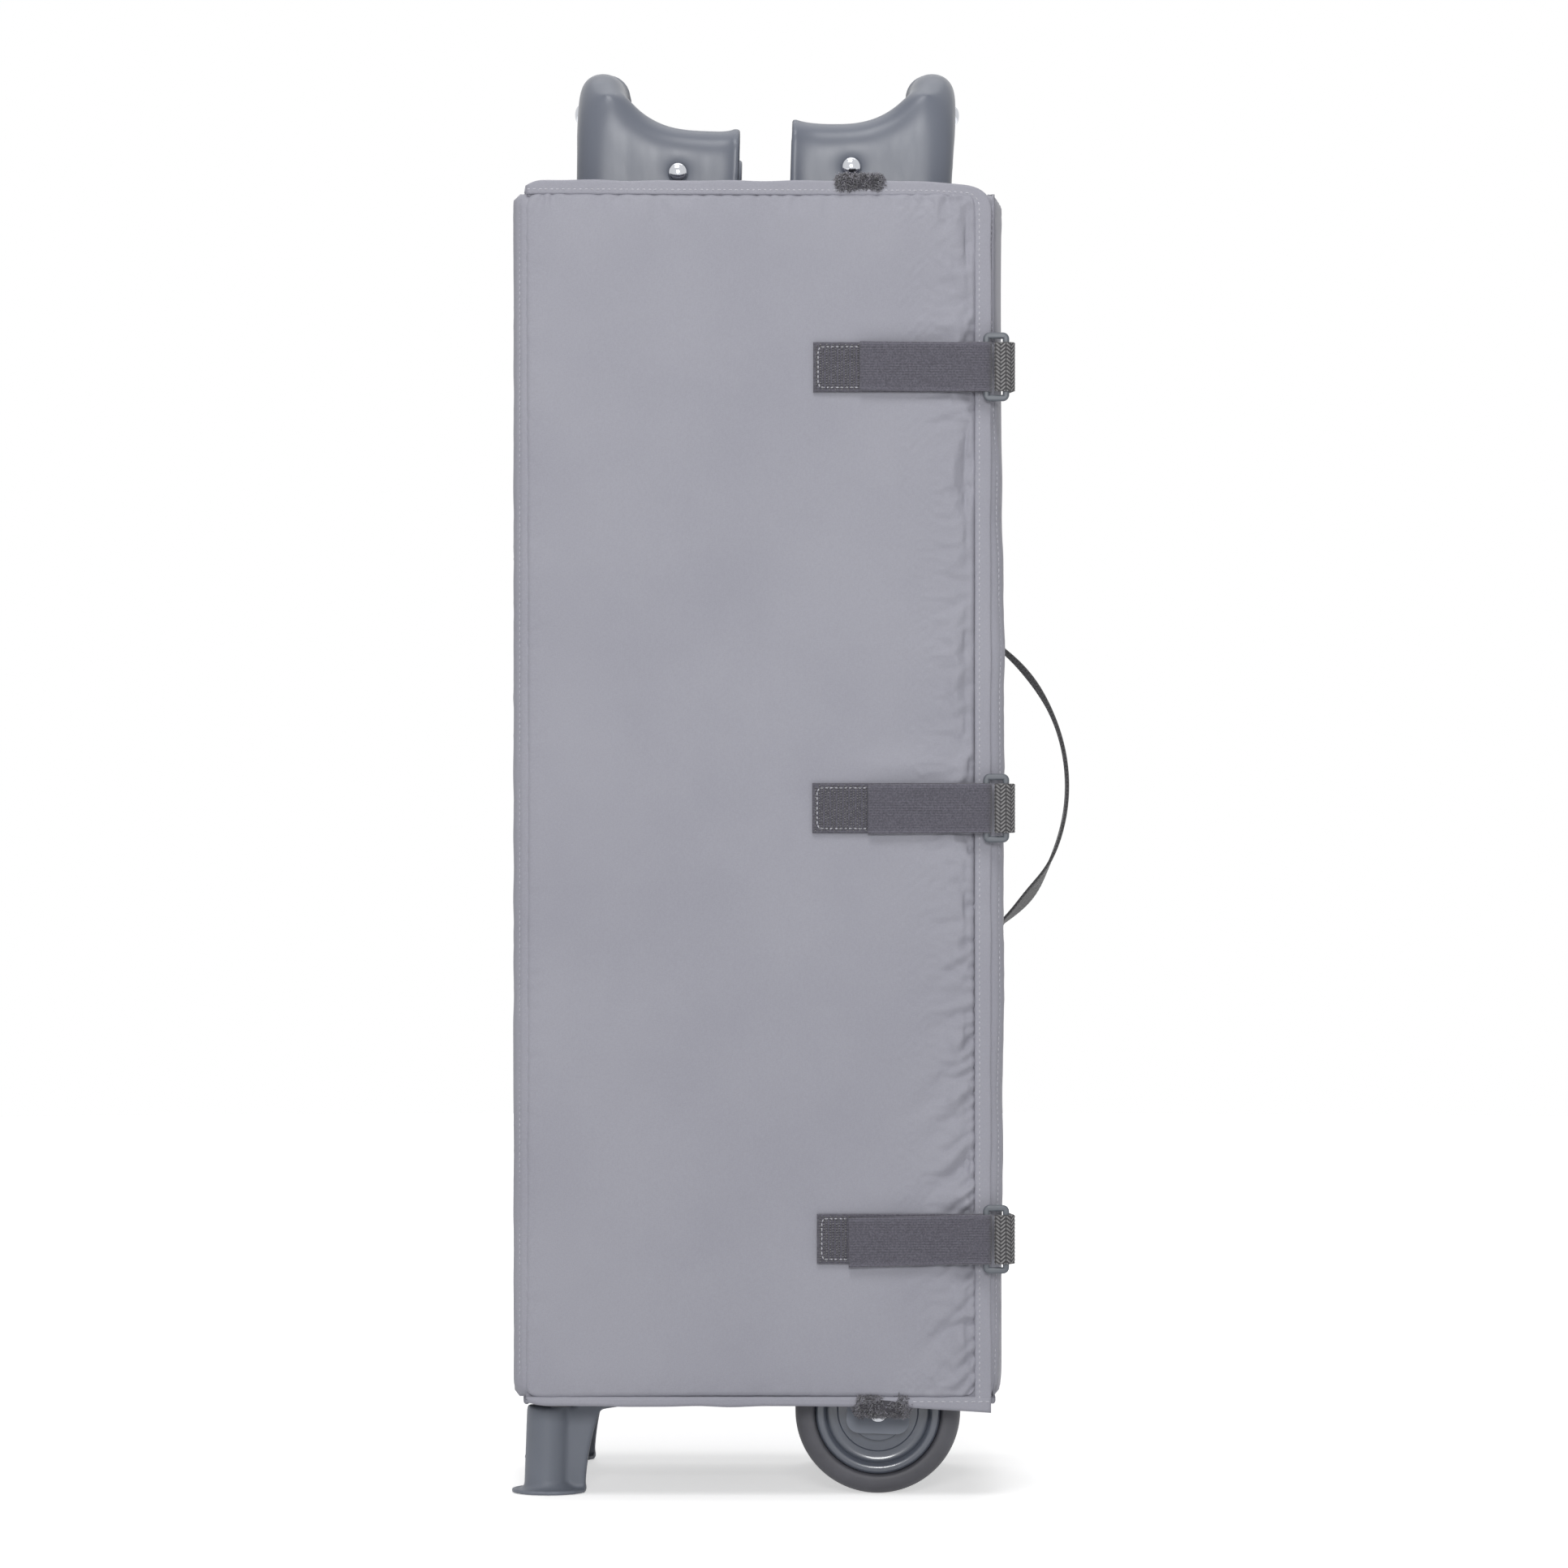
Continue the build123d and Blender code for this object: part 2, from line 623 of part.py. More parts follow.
with BuildPart() as bracket:
    add(front_arm.part)
    add(side_arm.part)
    for mouth in MOUTHS:
        with BuildSketch(mouth) as bead:
            with Locations((0, (RIM_PROUD - ARM_DEPTH) / 2)):
                Rectangle(ARM_WIDTH + 2 * RIM_PROUD, ARM_DEPTH + RIM_PROUD)
            fillet(bead.vertices().group_by(Axis.Y)[-1], ARM_ROUND + RIM_PROUD)
        extrude(amount=-RIM_WIDTH)
    for mouth, fall in zip(MOUTHS, (0, ROOF_FALL)):
        pivot = mouth.origin + mouth.z_dir * (PIVOT_INSET - ARM_REACH) - Vector(0, 0, PIVOT_DROP)
        for depth, drop in ((0, 0), (HALF_ARM - ARM_REACH, fall)):
            with BuildSketch(mouth.offset(depth)) as channel:
                with Locations((0, -ARM_DEPTH / 2 - ARM_WALL / 2 - drop)):
                    Rectangle(ARM_WIDTH - 2 * ARM_WALL, ARM_DEPTH - ARM_WALL)
                fillet(channel.vertices().group_by(Axis.Y)[-1], ARM_ROUND - ARM_WALL)
        loft(mode=Mode.SUBTRACT)
        with BuildSketch(Plane(pivot, mouth.z_dir, mouth.x_dir)):
            Circle(RIVET_RADIUS + FIT)
        extrude(amount=ARM_WIDTH, both=True, mode=Mode.SUBTRACT)
    with BuildSketch(Plane.XY.offset(SOCKET_BOTTOM)):
        Circle(POST_RADIUS + FIT)
    extrude(amount=POST_TOP - SOCKET_BOTTOM, mode=Mode.SUBTRACT)

for corner, side_x, side_y in CORNERS:
    handed = bracket.part
    if side_x > 0:
        handed = mirror(handed, about=Plane.YZ)
    if side_y > 0:
        handed = mirror(handed, about=Plane.XZ)
    with BuildPart() as top_bracket:
        with Locations(corner_plane(side_x, side_y)):
            add(handed)
    save(top_bracket, f"top_bracket_{corner}")


# Folding rails, hanging from the brackets down to the latch in the middle of each side


def folding_rail(plane, pivot, length):
    with BuildPart() as made:
        with BuildSketch(plane.offset(pivot + RAIL_END)):
            SlotOverall(RAIL_DEPTH, RAIL_THICK)
            SlotOverall(RAIL_DEPTH - 2 * RAIL_WALL, RAIL_THICK - 2 * RAIL_WALL, mode=Mode.SUBTRACT)
        extrude(amount=-length - 2 * RAIL_END)
        for height in (pivot, pivot - length):
            with BuildSketch(pin_plane(plane, height)):
                Circle(RIVET_RADIUS + FIT)
            extrude(amount=RAIL_THICK, both=True, mode=Mode.SUBTRACT)
    return made


def centre_latch(plane, span):
    """The latch between two half rails: two cheeks joined by a block that holds the button."""
    pins = Plane(plane.origin, plane.x_dir, plane.y_dir)
    room = (span + LATCH_HEIGHT - LATCH_BLOCK) / 2
    with BuildPart() as made:
        with BuildSketch(pins):
            SlotOverall(span + LATCH_HEIGHT, LATCH_HEIGHT)
        extrude(amount=LATCH_WIDTH / 2, both=True)
        fillet(made.faces().filter_by(Axis(plane.origin, plane.y_dir)).edges(), LATCH_EDGE)
        with BuildSketch(plane.offset(-LATCH_HEIGHT)):
            with GridLocations(LATCH_BLOCK + room, LATCH_SLOT, 2, 1):
                Rectangle(room, LATCH_SLOT)
        extrude(amount=2 * LATCH_HEIGHT, mode=Mode.SUBTRACT)
        with BuildSketch(plane.offset(-LATCH_HEIGHT / 2)):
            Circle(BUTTON_RADIUS + BUTTON_FIT)
        extrude(amount=BUTTON_STEM + BUTTON_TRAVEL + CLOTH_GAP, mode=Mode.SUBTRACT)
        with BuildSketch(pins):
            with GridLocations(span, LATCH_HEIGHT, 2, 1):
                Circle(RIVET_RADIUS + FIT)
        extrude(amount=LATCH_WIDTH, both=True, mode=Mode.SUBTRACT)
    return made


def latch_button(plane):
    """The release button in the underside of a latch."""
    with BuildPart() as made:
        with BuildSketch(plane.offset(-LATCH_HEIGHT / 2 - BUTTON_PROUD)):
            Circle(BUTTON_RADIUS)
        extrude(amount=BUTTON_PROUD + BUTTON_STEM)
        fillet(made.edges().group_by(Axis.Z)[0], BUTTON_EDGE)
    return made


SIDES = {
    "front": (-1, "x", FRONT_PIVOT, RAIL_LENGTH_X, ("left", "right")),
    "rear": (1, "x", FRONT_PIVOT, RAIL_LENGTH_X, ("left", "right")),
    "left": (-1, "y", SIDE_PIVOT, RAIL_LENGTH_Y, ("front", "rear")),
    "right": (1, "y", SIDE_PIVOT, RAIL_LENGTH_Y, ("front", "rear")),
}
rail_pins = []
latch_pins = []

for name, (side, along, pivot, length, ends) in SIDES.items():
    rails = side_ends(side, along)
    middle = middle_plane(*rails, pivot - length)
    span = (rails[1].origin - rails[0].origin).length
    for end, plane in zip(ends, rails):
        save(folding_rail(plane, pivot, length), f"rail_{name}_{end}")
        rail_pins.append(rivet(pin_plane(plane, pivot), ARM_WIDTH, RIVET_RADIUS, RIVET_HEAD))
        latch_pins.append(rivet(pin_plane(plane, pivot - length), LATCH_WIDTH, RIVET_RADIUS, RIVET_HEAD))
    save(centre_latch(middle, span), f"latch_{name}")
    save(latch_button(middle), f"latch_button_{name}")

with BuildPart() as rail_rivets:
    add(rail_pins)
save(rail_rivets, "rail_rivets")

with BuildPart() as latch_rivets:
    add(latch_pins)
save(latch_rivets, "latch_rivets")


# Base tubes, folded up to the hub, with a pin at each end

for corner, side_x, side_y in CORNERS:
    plane = swing_plane(side_x, side_y)
    with BuildPart() as base_tube:
        with BuildSketch(plane.offset(BASE_HEIGHT - BASE_END)):
            Circle(BASE_RADIUS)
            Circle(BASE_RADIUS - BASE_WALL, mode=Mode.SUBTRACT)
        extrude(amount=BASE_LENGTH + 2 * BASE_END)
        for height in (BASE_HEIGHT, HUB_HEIGHT):
            with BuildSketch(pin_plane(plane, height)):
                Circle(RIVET_RADIUS + FIT)
            extrude(amount=BASE_RADIUS, both=True, mode=Mode.SUBTRACT)
    save(base_tube, f"base_tube_{corner}")

with BuildPart() as base_pins:
    for corner, side_x, side_y in CORNERS:
        for height in (BASE_HEIGHT, HUB_HEIGHT):
            place = pin_plane(swing_plane(side_x, side_y), height)
            add(rivet(place, 2 * KNUCKLE_RADIUS, RIVET_RADIUS, RIVET_HEAD))
save(base_pins, "base_pins")

HUB_CHORD = swing_plane(1, 1).origin - swing_plane(-1, 1).origin
HUB_PLANE = Plane(lean_plane(0, 0).origin + LEAN_Z * HUB_HEIGHT, HUB_CHORD, HUB_CHORD.cross(LEAN_Y))
HUB_REACH_X = HUB_CHORD.length / 2
HUB_REACH_Y = POST_SPACING_Y / 2 - BASE_INSET
SLOT_INNER = BASE_RADIUS + KNUCKLE_END
SLOT_LENGTH = SLOT_INNER + 2 * KNUCKLE_RADIUS
SLOT_DEPTH = BASE_END + KNUCKLE_END

with BuildPart() as hub:
    with BuildSketch(HUB_PLANE):
        Circle(HUB_RADIUS)
    extrude(amount=KNUCKLE_RISE, both=True)
    for corner, side_x, side_y in CORNERS:
        with BuildSketch(HUB_PLANE):
            Circle(HUB_ARM_RADIUS)
            with Locations((side_x * HUB_REACH_X, side_y * HUB_REACH_Y)):
                Circle(KNUCKLE_RADIUS)
            make_hull()
        extrude(amount=KNUCKLE_RISE, both=True)
    for corner, side_x, side_y in CORNERS:
        swing = swing_plane(side_x, side_y)
        with BuildSketch(swing.offset(HUB_HEIGHT + SLOT_DEPTH)):
            with Locations((SLOT_INNER - SLOT_LENGTH / 2, 0)):
                Rectangle(SLOT_LENGTH, KNUCKLE_SLOT)
        extrude(amount=-SLOT_DEPTH - 2 * KNUCKLE_RISE, mode=Mode.SUBTRACT)
        pin = pin_plane(swing, HUB_HEIGHT)
        with BuildSketch(pin):
            Circle(RIVET_RADIUS + FIT)
        extrude(amount=KNUCKLE_RADIUS, both=True, mode=Mode.SUBTRACT)
        for way in (-1, 1):
            with BuildSketch(pin.offset(way * KNUCKLE_RADIUS)):
                Circle(RIVET_HEAD + HEAD_SEAT)
            extrude(amount=way * 2 * RIVET_DOME, mode=Mode.SUBTRACT)
    with BuildSketch(HUB_PLANE.offset(KNUCKLE_RISE)):
        Circle(HUB_DISH_RADIUS)
    extrude(amount=-HUB_DISH, mode=Mode.SUBTRACT)
save(hub, "hub")

with BuildPart() as hub_pull_strap:
    with BuildSketch(Plane(HUB_PLANE.offset(KNUCKLE_RISE - HUB_DISH).origin, HUB_CHORD, (0, -1, 0))):
        with BuildLine():
            rise = Line((-PULL_SPAN / 2, 0), (-PULL_SPAN / 2, PULL_RISE))
            arch = ThreePointArc(rise @ 1, (0, PULL_RISE + PULL_SPAN / 2), (PULL_SPAN / 2, PULL_RISE))
            Line(arch @ 1, (PULL_SPAN / 2, 0))
        trace(line_width=PULL_THICK)
    extrude(amount=PULL_WIDTH / 2, both=True)
save(hub_pull_strap, "hub_pull_strap")


# Feet under the left posts: a flared sole, a cup, a web and a knuckle for the base tube

for name, side_y in SIDES_Y.items():
    post_axis = corner_plane(-1, side_y)
    cup = lean_plane(-POST_SPACING_X / 2 - FOOT_SHIFT, side_y * POST_SPACING_Y / 2)
    swing = swing_plane(-1, side_y)
    sole = cup.origin + Vector(SOLE_SHIFT, 0, 0)
    throat = FOOT_RADIUS - SOLE_TUCK
    neck = FOOT_SHIFT + POST_RADIUS + NECK_GAP
    with BuildPart() as foot:
        with BuildSketch(Plane(sole, (1, 0, 0), (0, -1, 0))):
            with BuildLine():
                Polyline((0, SOLE_FLARE), (0, 0), (SOLE_RADIUS, 0), (SOLE_RADIUS, SOLE_THICK))
                TangentArc((throat, SOLE_FLARE), (SOLE_RADIUS, SOLE_THICK), tangent=(0, -1))
                Line((throat, SOLE_FLARE), (0, SOLE_FLARE))
            make_face()
        revolve(axis=Axis(sole, (0, 0, 1)))
        with BuildSketch(cup.offset(SOLE_THICK)):
            Circle(FOOT_RADIUS)
        extrude(amount=FOOT_TOP - SOLE_THICK)
        with BuildSketch(Plane(cup.origin, LEAN_X, (0, -1, 0))):
            with BuildLine():
                Line((0, SOLE_THICK), (WEB_BOTTOM, SOLE_THICK))
                TangentArc((WEB_BOTTOM, SOLE_THICK), (WEB_TOP, FOOT_TOP), tangent=(0, 1))
                Polyline(
                    (WEB_TOP, FOOT_TOP),
                    (WEB_TOP, KNUCKLE_TOP),
                    (neck, KNUCKLE_TOP),
                    (neck, FOOT_TOP),
                    (0, FOOT_TOP),
                    (0, SOLE_THICK),
                )
            make_face()
        extrude(amount=WEB_THICK / 2, both=True)
        with BuildSketch(cup.offset(KNUCKLE_BOTTOM)):
            with Locations(((neck + WEB_TOP) / 2, 0)):
                Rectangle(WEB_TOP - neck, WEB_THICK)
            with Locations((FOOT_SHIFT + BASE_INSET, -side_y * BASE_INSET)):
                Circle(KNUCKLE_RADIUS)
            make_hull()
        extrude(amount=KNUCKLE_TOP - KNUCKLE_BOTTOM)
        with BuildSketch(swing.offset(BASE_HEIGHT - SLOT_DEPTH)):
            with Locations((SLOT_LENGTH / 2 - SLOT_INNER, 0)):
                Rectangle(SLOT_LENGTH, KNUCKLE_SLOT)
        extrude(amount=SLOT_DEPTH + 2 * KNUCKLE_RISE, mode=Mode.SUBTRACT)
        pin = pin_plane(swing, BASE_HEIGHT)
        with BuildSketch(pin):
            Circle(RIVET_RADIUS + FIT)
        extrude(amount=KNUCKLE_RADIUS, both=True, mode=Mode.SUBTRACT)
        for way in (-1, 1):
            with BuildSketch(pin.offset(way * KNUCKLE_RADIUS)):
                Circle(RIVET_HEAD + HEAD_SEAT)
            extrude(amount=way * 2 * RIVET_DOME, mode=Mode.SUBTRACT)
        with BuildSketch(post_axis.offset(FOOT_TOP - SPIGOT_ROOT)):
            Circle(POST_RADIUS - POST_WALL - FIT)
        extrude(amount=SPIGOT_ROOT + SPIGOT_LENGTH)
    save(foot, f"foot_{name}")


# Wheel legs under the right posts: a socket, a crown over the wheel, two cheeks and a knuckle

for name, side_y in SIDES_Y.items():
    post_axis = corner_plane(1, side_y)
    fork = lean_plane(POST_SPACING_X / 2 - WHEEL_SHIFT, side_y * POST_SPACING_Y / 2)
    axle = pin_plane(fork, AXLE_HEIGHT)
    swing = swing_plane(1, side_y)
    cheek_height = CROWN_TOP - AXLE_HEIGHT + CHEEK_DROP
    with BuildPart() as wheel_leg:
        with BuildSketch(Plane(axle.origin, LEAN_X, (0, -1, 0))) as cheek:
            with Locations((0, cheek_height / 2 - CHEEK_DROP)):
                Rectangle(CHEEK_WIDTH, cheek_height)
            fillet(cheek.vertices(), CHEEK_CORNER)
        extrude(amount=FORK_OUTSIDE, both=True)
        with BuildSketch(post_axis.offset(CROWN_BOTTOM)):
            Circle(LEG_RADIUS)
        extrude(amount=CROWN_THICK + LEG_SOCKET)
        with BuildSketch(fork.offset(KNUCKLE_BOTTOM)):
            with Locations((0, -side_y * (FORK_OUTSIDE - CHEEK_THICK / 2))):
                Rectangle(CHEEK_WIDTH, CHEEK_THICK)
            with Locations((WHEEL_SHIFT - BASE_INSET, -side_y * BASE_INSET)):
                Circle(KNUCKLE_RADIUS)
            make_hull()
        extrude(amount=KNUCKLE_TOP - KNUCKLE_BOTTOM)
        with BuildSketch(fork):
            Rectangle(2 * (WHEEL_RADIUS + CROWN_GAP), 2 * FORK_INSIDE)
        extrude(amount=CROWN_BOTTOM, mode=Mode.SUBTRACT)
        with BuildSketch(swing.offset(BASE_HEIGHT - SLOT_DEPTH)):
            with Locations((SLOT_LENGTH / 2 - SLOT_INNER, 0)):
                Rectangle(SLOT_LENGTH, KNUCKLE_SLOT)
        extrude(amount=SLOT_DEPTH + 2 * KNUCKLE_RISE, mode=Mode.SUBTRACT)
        pin = pin_plane(swing, BASE_HEIGHT)
        with BuildSketch(pin):
            Circle(RIVET_RADIUS + FIT)
        extrude(amount=KNUCKLE_RADIUS, both=True, mode=Mode.SUBTRACT)
        for way in (-1, 1):
            with BuildSketch(pin.offset(way * KNUCKLE_RADIUS)):
                Circle(RIVET_HEAD + HEAD_SEAT)
            extrude(amount=way * 2 * RIVET_DOME, mode=Mode.SUBTRACT)
        with BuildSketch(post_axis.offset(CROWN_TOP)):
            Circle(POST_RADIUS + FIT)
        extrude(amount=LEG_SOCKET, mode=Mode.SUBTRACT)
        with BuildSketch(axle):
            Circle(AXLE_RADIUS + FIT)
        extrude(amount=FORK_OUTSIDE, both=True, mode=Mode.SUBTRACT)
        with BuildSketch(axle.offset(-side_y * FORK_OUTSIDE)):
            Circle(AXLE_HEAD + HEAD_SEAT)
        extrude(amount=-side_y * 2 * KNUCKLE_RADIUS, mode=Mode.SUBTRACT)
    save(wheel_leg, f"wheel_leg_{name}")

with BuildPart() as axle_rivets:
    for side_y in SIDES_Y.values():
        fork = lean_plane(POST_SPACING_X / 2 - WHEEL_SHIFT, side_y * POST_SPACING_Y / 2)
        add(rivet(pin_plane(fork, AXLE_HEIGHT), 2 * FORK_OUTSIDE, AXLE_RADIUS, AXLE_HEAD))
save(axle_rivets, "axle_rivets")


# Wheels: a stepped plastic rim and a rubber tyre, turned round the axle

HALF_WHEEL = WHEEL_WIDTH / 2
lip_round = (TYRE_BORE - LIP_RADIUS) / 2
lip_side = HALF_WHEEL - LIP_RECESS - lip_round

for name, side_y in SIDES_Y.items():
    fork = lean_plane(POST_SPACING_X / 2 - WHEEL_SHIFT, side_y * POST_SPACING_Y / 2)
    axle = pin_plane(fork, AXLE_HEIGHT)
    section = Plane(axle.origin, axle.x_dir, axle.x_dir.cross(axle.z_dir))
    turning = Axis(axle.origin, axle.z_dir)
    with BuildPart() as wheel_rim:
        with BuildSketch(section):
            with BuildLine():
                Polyline(
                    (AXLE_RADIUS + AXLE_RUN, 0),
                    (AXLE_RADIUS + AXLE_RUN, HALF_WHEEL),
                    (BOSS_RADIUS, HALF_WHEEL),
                    (BOSS_RADIUS, HALF_WHEEL - STEP_RECESS),
                    (STEP_RADIUS, HALF_WHEEL - STEP_RECESS),
                    (STEP_RADIUS, HALF_WHEEL - DISC_RECESS),
                    (LIP_RADIUS, HALF_WHEEL - DISC_RECESS),
                    (LIP_RADIUS, lip_side),
                )
                ThreePointArc(
                    (LIP_RADIUS, lip_side),
                    (LIP_RADIUS + lip_round, lip_side + lip_round),
                    (TYRE_BORE, lip_side),
                )
                Polyline((TYRE_BORE, lip_side), (TYRE_BORE, 0), (AXLE_RADIUS + AXLE_RUN, 0))
            make_face()
            mirror(about=Plane.XZ)
        revolve(axis=turning)
    save(wheel_rim, f"wheel_rim_{name}")

    with BuildPart() as tyre:
        with BuildSketch(section) as tread:
            with Locations(((TYRE_BORE + WHEEL_RADIUS) / 2, 0)):
                Rectangle(WHEEL_RADIUS - TYRE_BORE, WHEEL_WIDTH)
            fillet(tread.vertices().group_by(Axis.X)[-1], TYRE_ROUND)
        revolve(axis=turning)
    save(tyre, f"tyre_{name}")


# Wall cloth, gathered in folds between the two half rails of each side, and the floor cloth,
# gathered round the middle under the hub

with BuildPart() as wall_cloth:
    for side, along, pivot, length, ends in SIDES.values():
        first, second = side_ends(side, along)
        spread = (second.origin - first.origin).dot(first.x_dir)
        width = spread - RAIL_DEPTH - CLOTH_THICK - 2 * CLOTH_GAP
        pitch = width / CLOTH_FOLDS
        bottom = pivot - length + LATCH_HEIGHT / 2 + CLOTH_CLEAR
        top = pivot + PIVOT_DROP - ARM_DEPTH - CLOTH_CLEAR
        floor = Plane((first.origin + second.origin) / 2, first.x_dir, LEAN_Z)
        with BuildSketch(floor.offset(bottom)):
            with BuildLine():
                for fold in range(CLOTH_FOLDS):
                    begin = fold * pitch - width / 2
                    way = 1 if fold % 2 else -1
                    ThreePointArc((begin, 0), (begin + pitch / 2, way * CLOTH_WAVE), (begin + pitch, 0))
            trace(line_width=CLOTH_THICK)
        extrude(amount=top - bottom)
save(wall_cloth, "wall_cloth")

FOLD_STEP = 2 * pi / GATHER_FOLDS

with BuildPart() as floor_cloth:
    with BuildSketch(lean_plane(0, 0).offset(GATHER_BOTTOM)):
        with BuildLine():
            for fold in range(GATHER_FOLDS):
                reach = GATHER_RADIUS + (GATHER_WAVE if fold % 2 else -GATHER_WAVE)
                begin, middle, end = (fold * FOLD_STEP, (fold + 1 / 2) * FOLD_STEP, (fold + 1) * FOLD_STEP)
                ThreePointArc(
                    (GATHER_RADIUS * cos(begin), GATHER_RADIUS * sin(begin)),
                    (reach * cos(middle), reach * sin(middle)),
                    (GATHER_RADIUS * cos(end), GATHER_RADIUS * sin(end)),
                )
        make_face()
    extrude(amount=HUB_HEIGHT - GATHER_BOTTOM)
    split(bisect_by=HUB_PLANE.offset(-KNUCKLE_RISE - CLOTH_GAP), keep=Keep.BOTTOM)
save(floor_cloth, "floor_cloth")
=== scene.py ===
import json
from math import cos, pi, radians, sin, sqrt, tau

import bmesh
import bpy
import numpy as np
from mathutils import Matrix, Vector


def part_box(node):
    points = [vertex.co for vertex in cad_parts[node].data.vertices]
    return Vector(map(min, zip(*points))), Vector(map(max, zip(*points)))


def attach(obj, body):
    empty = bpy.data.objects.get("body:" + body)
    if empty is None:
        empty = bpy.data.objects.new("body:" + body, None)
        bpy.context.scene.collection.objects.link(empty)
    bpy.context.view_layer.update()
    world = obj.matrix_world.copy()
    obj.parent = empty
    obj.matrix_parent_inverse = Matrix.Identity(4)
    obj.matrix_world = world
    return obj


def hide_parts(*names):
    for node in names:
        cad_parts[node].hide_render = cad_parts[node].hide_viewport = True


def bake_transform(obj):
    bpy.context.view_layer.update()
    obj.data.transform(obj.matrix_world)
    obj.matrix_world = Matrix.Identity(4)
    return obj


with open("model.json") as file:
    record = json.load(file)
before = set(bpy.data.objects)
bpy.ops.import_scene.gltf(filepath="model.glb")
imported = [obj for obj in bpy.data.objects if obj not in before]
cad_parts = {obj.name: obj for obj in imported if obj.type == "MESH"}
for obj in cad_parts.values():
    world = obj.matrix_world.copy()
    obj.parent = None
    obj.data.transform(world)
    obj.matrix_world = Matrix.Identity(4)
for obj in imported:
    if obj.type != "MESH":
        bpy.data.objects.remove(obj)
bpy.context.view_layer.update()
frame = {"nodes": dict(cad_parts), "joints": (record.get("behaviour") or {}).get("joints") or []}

# Sizes, in metres
MM = 0.001
SEED = 11

PAD_STEP = 2.4 * MM
PAD_ROW = 1.6 * MM
FINE_STEP = 0.9 * MM
FINE_SIDE = 42 * MM
FINE_END = 15 * MM
PAD_BACK_STEP = 3.4 * MM
PAD_THICK = 12.4 * MM
PAD_EDGE = 6.1 * MM
PAD_CORNER = 9 * MM
ROLL_DROP = 3.4 * MM
ROLL_WIDTH = 2.6 * MM
SHOULDER_DROP = 1.3 * MM
SHOULDER_WIDTH = 16 * MM
DRAW_IN = 1.2 * MM
SAG_HEIGHT = 0.5 * MM
SAG_LENGTH = 120 * MM

GATHER_PITCH = (5 * MM, 11 * MM)
GATHER_WIDTH = (1.4 * MM, 2.8 * MM)
GATHER_DEPTH = (0.7 * MM, 1.9 * MM)
CORNER_PULL_UPPER = 4.4 * MM
CORNER_PULL_LOWER = 3.2 * MM
CORNER_WAVE = 0.6 * MM

HEM_WIDTH = 6.4 * MM
HEM_THICK = 2.2 * MM
HEM_DEPTH = 2.9 * MM
HEM_LAP = 1.2 * MM
HEM_LEAN = 4.2 * MM
TAPE_LAP = 6 * MM
TAPE_THICK = 1.6 * MM
SIDE_HEM_START = 12 * MM
HEM_WAVE = 0.4 * MM
HEM_STEP = 3 * MM
LOWER_HEM = 4.3 * MM
LOWER_HEM_THICK = 3.4 * MM
LOWER_HEM_SAG = 3.4 * MM
CLOSING_HEM = 9.5 * MM
CLOSING_EDGE = 1.8 * MM
CORNER_FALL = 26 * MM
CLOSING_RUN = 70 * MM
CLOSING_DROP = 6 * MM
FOLD_RADIUS = 8.0 * MM
FOLD_THICK = 1.6 * MM
FOLD_ROWS = 240
FOLD_WAVE = 0.035
FOLD_WAVE_LENGTH = 17 * MM
FOLD_SEAM = 0.05

STITCH_PITCH = 3.1 * MM
STITCH_LENGTH = 2.3 * MM
STITCH_RADIUS = 0.36 * MM
STITCH_INSET = 1.5 * MM
STITCH_SIDES = 6
STITCH_RINGS = 7
LOOSE_STITCHES = 60
BOX_PITCH = 0.8 * STITCH_PITCH
BOX_LENGTH = 0.85 * STITCH_LENGTH
BOX_CORNERS = ((0, 1), (1, 1), (1, -1), (0, -1), (0, 1), (1, -1))

STRAP_WIDTH = 27 * MM
STRAP_THICK = 1.6 * MM
STRAP_FOLD = 3.0 * MM
STRAP_RETURN = 5.0 * MM
STRAP_RAMP = 11 * MM
STRAP_DENT = 1.3 * MM
STRAP_SWELL = {"upper": 0.6 * MM, "middle": 1.6 * MM, "lower": 0.6 * MM}
STRAP_SWELL_RISE = 9.5 * MM
STRAP_SWELL_START = 52 * MM
SELVEDGE = 0.14 * MM
CLOTH_GAP = 0.3 * MM
FLAP_TILT = {"upper": -0.6 * MM, "middle": 0.7 * MM, "lower": 2.0 * MM}
HOOK_PITCH = 1.7 * MM
HOOK_HEIGHT = 0.9 * MM
HOOK_RADIUS = 0.28 * MM
HOOK_MARGIN = 2.0 * MM

TAB_COLUMN = 2.7 * MM
TAB_PITCH = 2.1 * MM
TAB_RELIEF = 0.35 * MM
TAB_LIP = 6.2 * MM
TAB_RISE = 20 * MM
TAB_LEAN = 1.2 * MM
RING_WIRE = 3.5 * MM

HANDLE_WIDTH = 20 * MM
HANDLE_THICK = 1.8 * MM
HANDLE_SEWN = 26 * MM
HANDLE_RIB = 1.6 * MM
HANDLE_BEAT = 1.5 * MM
HANDLE_RELIEF = 0.22 * MM

PILE_TUFTS = 340
TUFT_FIBRES = 12
TUFT_WIDTH = 0.8 * MM
PILE_LENGTH = 3.0 * MM
PILE_RADIUS = 0.27 * MM

SOFT_VOXEL = 1.1 * MM
MELT_PASSES = 420
MELT_SHARE = 0.7
BRACKET_EASING = 4
FOOT_EASING = 8
MOUTH_KEEP = 4 * MM
MOUTH_FADE = 9 * MM
SOCKET_FADE = 15 * MM

